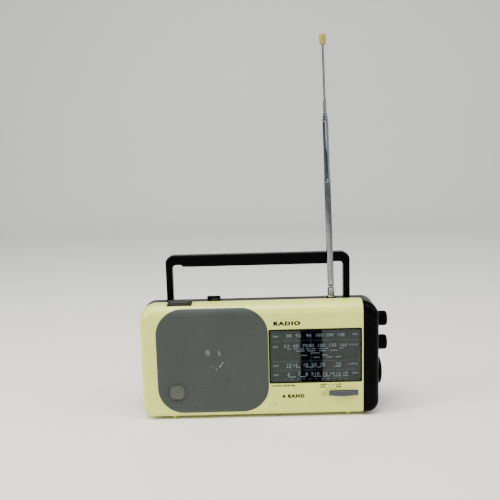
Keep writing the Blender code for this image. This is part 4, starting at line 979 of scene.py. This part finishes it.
def make_slider():
    """The bowed band switch slider with finger grooves across its crown."""
    low, high = local("band_switch_knob")
    left, right = low.x, high.x
    crown, rim, steps = -low.y, 0.15 * MM, 28
    outline = [(left, 1.4 * MM), (left, -rim)]
    for step in range(1, steps):
        share = step / steps
        bulge = sin(pi * share)
        outline.append((left + (right - left) * share, -rim - (crown - rim) * bulge))
    outline += [(right, -rim), (right, 1.4 * MM)]
    slider = prism("band_slider", outline, low.z, high.z, "xy")
    ease_edges(slider, 0.5 * MM, 3, 50)
    middle = (left + right) / 2
    for step in range(-3, 4):
        start = (middle + step * 1.5 * MM, -crown - 0.15 * MM, low.z - MM)
        carve(slider, disc(start, high.z - low.z + 2 * MM, 0.35 * MM, sides=16))
    height = (low.z + high.z) / 2
    stem = box((middle - 2 * MM, MM, height - 1.5 * MM), (middle + 2 * MM, high.y, height + 1.5 * MM))
    carve(slider, stem, "UNION")
    finish_piece(slider, SLIDER, ["band_switch_knob"], body="band_switch")


def make_button():
    low, high = local("power_button")
    outline = rectangle(low.x, high.x, low.y, high.y, 4.5 * MM)
    button = prism("power_key", outline, low.z, high.z, "xy")
    ease_edges(button, 1.0 * MM, 4, 50)
    finish_piece(button, BUTTON, ["power_button"], body="power_button")


def fluted(profile, flutes, depth, start):
    """A knob along x: (radius, height, share of the flute depth) rings with flutes round them."""
    around = flutes * 6
    bm = bmesh.new()
    rings = []
    for radius, height, share in profile:
        ring = []
        for step in range(around):
            angle = tau * step / around
            wave = 0.5 - 0.5 * cos(flutes * angle)
            reach = radius - depth * share * wave * wave
            ring.append(bm.verts.new((height, reach * cos(angle), reach * sin(angle))))
        rings.append(ring)
    skin(bm, rings)
    bmesh.ops.translate(bm, verts=bm.verts, vec=Vector(start))
    return bm


def make_knob(node, body, flutes, depth, domed=False):
    low, high = local(node)
    y, z, radius = round_part(node)
    length = high.x - low.x
    rings = [(KNOB_BORE, 0, 0), (radius - 0.9 * MM, 0, 0), (radius - 0.3 * MM, 0.5 * MM, 0.4)]
    if domed:
        rim = 1.5 * MM
        rings += [(radius, 0.8 * MM, 1), (radius, rim, 1)]
        for step in range(1, 12):
            angle = pi / 2 * step / 12
            share = max(0.0, 1 - step / 4)
            rings.append((radius * cos(angle), rim + (length - rim) * sin(angle), share))
        rings.append((0.4 * MM, length, 0))
    else:
        rim = 2.4 * MM
        rings += [(radius, 1.2 * MM, 1), (radius, length - rim - 0.6 * MM, 1)]
        for step in range(1, 7):
            angle = pi / 2 * step / 6
            spot = (radius - rim + rim * cos(angle), length - rim - 0.6 * MM + rim * sin(angle))
            rings.append((*spot, 1 - step / 6))
        face = radius - rim
        rings += [(face - 0.4 * MM, length - 0.6 * MM, 0), (face - 0.7 * MM, length - 0.9 * MM, 0)]
        rings += [(face - 1.1 * MM, length - 0.9 * MM, 0), (face - 1.4 * MM, length - 0.55 * MM, 0)]
        rings += [(face * 0.45, length - 0.1 * MM, 0), (0.4 * MM, length, 0)]
    knob = as_object(node.replace("_knob", "_control_knob"), fluted(rings, flutes, depth, (low.x, y, z)))
    carve(knob, disc((low.x - MM, y, z), length - 1.2 * MM, KNOB_BORE, ALONG_X, 32))
    if not domed:
        half = 0.4 * MM
        mark_start = (high.x - 0.8 * MM, y - half, z + radius * 0.35)
        carve(knob, box(mark_start, (high.x + MM, y + half, z + radius * 0.8)))
    finish_piece(knob, BLACK, [node], body=body, sharp=40)


def make_handle():
    low, high = HANDLE_LOW, HANDLE_HIGH
    outer, top, bottom = high.x, high.z, low.z
    inner = outer - 7.2 * MM
    arch = top - 10.4 * MM
    under = top - 12.6 * MM
    grip = inner - 11.5 * MM
    half = [(outer, bottom, 2 * MM), (outer, top - 4.5 * MM, 7 * MM), (outer - 6.5 * MM, top, 8 * MM)]
    under_side = [
        (inner, bottom, 2 * MM), (inner, arch, 4.2 * MM), (grip + 1.8 * MM, arch, 2.2 * MM),
        (grip, under, 1.4 * MM),
    ]
    corners = [(-x, z, r) for x, z, r in half] + [(x, z, r) for x, z, r in reversed(half)]
    corners += under_side + [(-x, z, r) for x, z, r in reversed(under_side)]
    handle = prism("carrying_handle", rounded_outline(corners), low.y, high.y)
    ease_edges(handle, 1.8 * MM, 5, 60)
    carve(handle, disc((-FAR, HANDLE_Y, PIVOT_Z), 2 * FAR, PIVOT_HOLE, ALONG_X, 32))
    skin_depth = 0.45 * MM
    outside = rectangle(low.y - MM, high.y + MM, under - MM, top + MM, 0)
    inside_low, inside_high = under + skin_depth, top - skin_depth
    kept = rectangle(low.y + skin_depth, high.y - skin_depth, inside_low, inside_high, 1.9 * MM)
    for side in (-1, 1):
        for step in range(2):
            x = side * (grip - 1.5 * MM - step * 2.4 * MM)
            groove = prism("groove", outside, x - 0.35 * MM, x + 0.35 * MM, "yz")
            cut(groove, kept, x - MM, x + MM, "yz")
            carve(handle, taken_from(groove))
    finish_piece(handle, BLACK, ["handle"], body="handle")


def along_antenna(distance):
    return HINGE + Vector((-sin(ANTENNA_LEAN), 0, cos(ANTENNA_LEAN))) * distance


def hinge_pin(reach, radius):
    """A round pin through the hinge, as far in front of it as behind."""
    return disc(HINGE - Vector((0, reach, 0)), 2 * reach, radius, ALONG_Y, 32)


def make_antenna_foot():
    foot = [mm(0, -6, 0), mm(2.5, -6, 0), mm(2.5, 0.3, 0), mm(4.8, 0.3, 0.2), mm(4.8, 1.5, 0.5)]
    foot += [mm(3.2, 2.2, 0.5), mm(3.2, 3.2, 0.5), mm(3.8, 3.9, 0.5), mm(3.8, 9.8, 1.4), mm(0, 11, 0)]
    base = as_object("antenna_swivel_foot", turned(foot, (ANTENNA_X, ANTENNA_Y, CASE_TOP), sides=56))
    half = FORK_SLOT / 2
    carve(base, box((-FAR, ANTENNA_Y - half, CASE_TOP + 2.8 * MM), (FAR, ANTENNA_Y + half, FAR)))
    carve(base, hinge_pin(6 * MM, 1.25 * MM))
    finish_piece(base, CHROME, ["antenna_base"], body="antenna_foot")
    pin = [mm(0, 0, 0), mm(1.1, 0, 0.3), mm(1.1, 7.8, 0.3), mm(0, 7.8, 0)]
    rivet = as_object("antenna_rivet", turned(pin, HINGE - Vector(mm(0, 3.9, 0)), ALONG_Y, 32))
    finish_piece(rivet, CHROME, ["antenna_hinge_pin"], body="antenna_foot")


def make_antenna_tubes():
    lean = Matrix.Rotation(-ANTENNA_LEAN, 4, "Y")
    radii = (*TUBE_RADII, ROD_RADIUS)
    for index, (start, end) in enumerate(zip(TUBE_STARTS, TUBE_ENDS)):
        radius, following = radii[index], radii[index + 1]
        length = end - start
        bore = radius - 0.3 * MM
        neck = following + 0.3 * MM
        collar = length - 3.2 * MM
        profile = [
            (radius - 0.12 * MM, collar, 0), (radius, collar + 0.2 * MM, 0),
            (radius, collar + 1.5 * MM, 0.5 * MM), (neck, length - 0.5 * MM, 0.3 * MM),
            (neck, length, 0.15 * MM), (following + 0.08 * MM, length, 0.05 * MM),
            (following + 0.08 * MM, length - 0.8 * MM, 0), (bore, length - 1.6 * MM, 0),
        ]
        if index == 0:
            groove = radius - 0.15 * MM
            profile += [(bore, 3 * MM, 0), (0, 3 * MM, 0), (0, 0, 0), (radius - 0.9 * MM, 0, 0.4 * MM)]
            profile += [(radius, 1.4 * MM, 0.6 * MM), (radius, 3.4 * MM, 0), (groove, 3.6 * MM, 0)]
            profile += [(groove, 4.2 * MM, 0), (radius, 4.4 * MM, 0)]
        else:
            profile += [(bore, 0, 0), (radius, 0, 0.1 * MM)]
        profile += [(radius, collar - 0.4 * MM, 0), (radius - 0.12 * MM, collar - 0.2 * MM, 0)]
        spun = turned(profile, along_antenna(start), lean, 40, 3)
        tube = as_object(f"antenna_section_{index + 1}", spun)
        body = "antenna_arm" if index == 0 else f"antenna_section_{index + 1}"
        if index == 0:
            add_tongue(tube, lean)
        finish_piece(tube, CHROME, [f"antenna_tube_{index + 1}"], body=body)
    length = ROD_END - ROD_START + 5 * MM
    rod = [(0, 0, 0), (ROD_RADIUS, 0, 0.2 * MM), (ROD_RADIUS, length, 0), (0, length, 0)]
    made = as_object("antenna_inner_rod", turned(rod, along_antenna(ROD_START), lean, 28))
    finish_piece(made, CHROME, ["antenna_rod"], body="antenna_top")
    tip = [mm(1.3, 0, 0), mm(2.4, 0, 0.3), mm(3.4, 1.2, 0.8), mm(3.4, 3.6, 0), mm(3.2, 3.8, 0)]
    tip += [mm(3.2, 4.1, 0), mm(3.4, 4.3, 0), mm(3.4, 11.6, 2.9), mm(0, 11.6, 0), mm(0, 5.2, 0)]
    tip.append(mm(1.3, 5.2, 0))
    made = as_object("antenna_end_cap", turned(tip, along_antenna(ROD_END), lean, 40, 7))
    finish_piece(made, TIP, ["antenna_tip"], body="antenna_top")


def add_tongue(tube, lean):
    """The flat eye at the foot of the lowest tube, which the fork and rivet hold."""
    corners = [mm(-3, -3, 2.9), mm(-3, 7, 0), mm(3, 7, 0), mm(3, -3, 2.9)]
    tongue = extruded(rounded_outline(corners, 10), -1.1 * MM, 1.1 * MM)
    bmesh.ops.transform(tongue, matrix=Matrix.Translation(HINGE) @ lean, verts=tongue.verts)
    carve(tube, tongue, "UNION")
    carve(tube, hinge_pin(6 * MM, 1.4 * MM))


def make_clip():
    low, high = local("antenna_clip")
    wall, bed = 1.6 * MM, low.z + 1.2 * MM
    rear_top = 125.0 * MM
    front_wall, back_wall = low.y + wall, high.y - wall
    profile = [(low.y, low.z, 0.3 * MM), (low.y, high.z, MM), (front_wall, high.z, 0.35 * MM)]
    profile += [(front_wall, bed, 1.2 * MM), (back_wall, bed, 1.2 * MM)]
    profile += [(back_wall, rear_top, 0.35 * MM), (high.y, rear_top, 0.6 * MM), (high.y, low.z, 0.3 * MM)]
    clip = prism("antenna_rest", rounded_outline(profile, 5), low.x, high.x, "yz")
    middle = (low.y + high.y) / 2
    carve(clip, box((low.x + 4.4 * MM, low.y - MM, bed), (high.x - 1.2 * MM, middle, bed + 1.4 * MM)))
    ease_edges(clip, 0.35 * MM, 3)
    finish_piece(clip, BLACK, ["antenna_clip"])


def make_screws():
    for index, node in enumerate(SCREWS):
        x, _, z = middle_of(node)
        head = [mm(0, 0, 0), mm(3, 0.25, 0.5), mm(3, 1.2, 0), mm(1.5, 1.2, 0), mm(1.5, 12, 0), mm(0, 12, 0)]
        screw = as_object(f"case_screw_head_{index + 1}", turned(head, (x, CASE_DEPTH, z), INTO_BACK, 32))
        for wide, tall in (mm(1.9, 0.35), mm(0.35, 1.9)):
            carve(screw, box((x - wide, CASE_DEPTH - MM, z - tall), (x + wide, CASE_DEPTH + MM, z + tall)))
        finish_piece(screw, STEEL, [node])


def make_jacks():
    for node, bore in (("earphone_jack", 1.8 * MM), ("dc_jack", 2.8 * MM)):
        y, z, flange = round_part(node)
        end = 14 * MM
        outer = flange - 1.5 * MM
        seat = REAR_WALL + GAP
        rim = 0.5 * MM
        profile = [(bore, 0.9 * MM, 0.3 * MM), (bore + rim, rim, 0.2 * MM), (outer, rim, 0.3 * MM)]
        profile += [(outer, seat, 0), (flange, seat, 0), (flange, end, 0), (0, end, 0)]
        profile += [(0, end - 2 * MM, 0), (bore, end - 2 * MM, 0)]
        jack = as_object(node.replace("_jack", "_socket"), turned(profile, (-CASE_HALF, y, z), ALONG_X, 40))
        finish_piece(jack, STEEL, [node])


def make_case_print():
    words = (
        ("4 BAND", 33.9, 23.4, 4.1, 23.6), ("RADIO", 28.4, 101.7, 4.5, 28),
        ("4 BAND RECEIVER", 23.6, 34.9, 1.9, 25.4),
        ("MW", 65.4, 35.0, 1.8, 6.0), ("SW", 65.4, 32.4, 1.8, 5.6),
        ("LW", 81.4, 35.0, 1.8, 5.0), ("FM", 81.4, 32.4, 1.8, 5.0),
    )
    entries = [(text, *mm(*place)) for text, *place in words]
    letters("case_lettering", entries, -PRINT, CASE_PRINT, 0.075)
    ticks = [mm(x, 30.0, 0.9, 1.5) for x in (69.3, 72.1, 74.5, 77.1)]
    ticks += [mm(71.6, 33.4, 0.3, 3.2), mm(74.9, 33.4, 0.3, 3.2)]
    ticks += [mm(70.2, 35.0, 2.8, 0.3), mm(76.6, 35.0, 3.4, 0.3)]
    strips("band_ticks", ticks, -PRINT, CASE_PRINT)


def finish_inner_parts():
    """The works inside keep their CAD shapes and get the surfaces that they have."""
    surfaces = {
        DARK_CLOTH: ["grille_cloth"], PAPER: ["speaker_cone"], FERRITE: ["speaker_magnet", "ferrite_rod"],
        GREY_PLASTIC: ["battery_tray"],
        WHITE_PLASTIC: ["tuning_drum", "cord_pulley_left", "cord_pulley_right", "ferrite_holder"],
        CORD: ["dial_cord"], CLEAR_PLASTIC: ["tuning_capacitor"], BOARD: ["circuit_board"],
        JACKET: ["output_capacitor", "battery_1", "battery_2", "battery_3", "battery_4"],
    }
    by_node = {node: surface for surface, nodes in surfaces.items() for node in nodes}
    for name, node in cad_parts.items():
        if not node.hide_render:
            node.data.materials.clear()
            node.data.materials.append(by_node.get(name, STEEL))


make_front_shell()
make_rear_shell()
make_end_cap()
make_battery_cover()
make_grille()
make_lining()
make_pale_disc()
make_window()
make_dial_print()
make_pointer()
make_slider()
make_button()
make_knob("volume_knob", "volume_control", 30, 0.5 * MM)
make_knob("tone_knob", "tone_control", 30, 0.5 * MM)
make_knob("tuning_knob", "tuning_control", 60, 0.45 * MM, True)
make_handle()
make_antenna_foot()
make_antenna_tubes()
make_clip()
make_screws()
make_jacks()
make_case_print()
finish_inner_parts()

# ---------------------------------------------------------------- stage, light and camera


def make_stage():
    mesh = bpy.data.meshes.new("floor")
    bm = bmesh.new()
    front, back, rise, wide, radius = -5.0, 1.5, 3.2, 6.0, 0.4
    rows = [(front, 0.0)]
    for step in range(25):
        angle = pi / 2 * step / 24
        rows.append((back + radius * sin(angle), radius - radius * cos(angle)))
    rows.append((back + radius, rise))
    left = [bm.verts.new((-wide, y, z)) for y, z in rows]
    right = [bm.verts.new((wide, y, z)) for y, z in rows]
    for index in range(len(rows) - 1):
        bm.faces.new((left[index], right[index], right[index + 1], left[index + 1]))
    bm.to_mesh(mesh)
    bm.free()
    mesh.shade_smooth()
    stage = placed("floor", mesh)
    paint = Paint("pale floor")
    paint.set(Roughness=0.8)
    floor_tone = paint.mix(paint.noise(6, 4, 0.5), (236, 233, 222), (230, 227, 217))
    wall_tone = paint.mix(paint.noise(2, 3, 0.5), (230, 232, 228), (237, 236, 232))
    paint.set(Base_Color=paint.mix(paint.along("Y", 0.35, 0.7), floor_tone, wall_tone))
    stage.data.materials.append(paint.material)


def area_light(name, place, aim, size, power):
    data = bpy.data.lights.new(name, "AREA")
    data.shape = "RECTANGLE"
    data.size, data.size_y = size
    data.energy = power
    lamp = placed(name, data)
    lamp.location = place
    lamp.rotation_euler = (Vector(aim) - Vector(place)).to_track_quat("-Z", "Y").to_euler()


def make_sky():
    """Soft light all round, for the gloss dim where the photographer stands and brighter on the right."""
    world = bpy.data.worlds.new("studio")
    sky = Tree(world, "Generated")
    front = sky.along("Y", -0.75, -0.95, 1.0, 0.12)
    side = sky.along("X", -0.2, 0.8, 0.34, 1.1)
    background = sky.tree.nodes["Background"].inputs
    sky.fill(background["Color"], (0.93, 0.96, 1.0, 1))
    sky.fill(background["Strength"], sky.math("MULTIPLY", front, side))
    bpy.context.scene.world = world


def make_lights():
    area_light("overhead", (-0.2, -0.25, 1.3), (0, 0, 0.05), (0.9, 0.7), 24)
    area_light("cap sheen", (0.6, -0.35, 1.1), (0.12, 0, 0.11), (0.25, 0.25), 2.5)
    area_light("left window", (-1.2, -0.5, 0.88), (0, 0, 0.08), (0.35, 0.4), 15)
    area_light("front fill", (0.1, -1.7, 0.45), (0, 0, 0.05), (0.8, 0.4), 4)
    area_light("right fill", (1.3, -0.2, 1.0), (0.4, 0.9, 0.2), (0.8, 0.8), 7)
    make_sky()


def make_flag():
    """A card on the floor that only gloss sees: it puts the photographer's dark band in the window."""
    bm = bmesh.new()
    spots = []
    bottom = ((BAND_LEFT, BAND_BOTTOM), (BAND_RIGHT, BAND_BOTTOM))
    for x, z in (*bottom, (BAND_RIGHT, BAND_TOP), (BAND_LEFT, BAND_TOP)):
        share = CAMERA.z / (CAMERA.z - z)
        spots.append((CAMERA.x + share * (x - CAMERA.x), CAMERA.y * (share - 1), MM))
    bm.faces.new([bm.verts.new(ORIGIN + Vector(spot)) for spot in spots])
    card = as_object("dark_card", bm)
    paint = Paint("dark card")
    paint.set(Roughness=0.9, Specular_IOR_Level=0.0)
    paint.set(Base_Color=paint.mix(paint.noise(40), (6, 6, 8), (10, 10, 12)))
    card.data.materials.append(paint.material)
    card.visible_camera = False
    card.visible_diffuse = False
    card.visible_transmission = False
    card.visible_shadow = False


def make_camera():
    """The camera stands 0.69 m in front of the dial, 0.29 m above the table, looking a little down."""
    data = bpy.data.cameras.new("camera")
    data.lens = 49.8
    data.sensor_width = 36
    camera = placed("camera", data)
    yaw, pitch, roll = radians(-0.387), radians(9.123), radians(1.514)
    ahead = Vector((sin(yaw) * cos(pitch), cos(yaw) * cos(pitch), -sin(pitch)))
    level = Vector((cos(yaw), -sin(yaw), 0))
    down = ahead.cross(level)
    right = level * cos(roll) + down * sin(roll)
    up = level * sin(roll) - down * cos(roll)
    turn = Matrix((right, up, -ahead)).transposed()
    camera.matrix_world = Matrix.Translation(ORIGIN + CAMERA) @ turn.to_4x4()
    bpy.context.scene.camera = camera


make_stage()
make_flag()
make_lights()
make_camera()
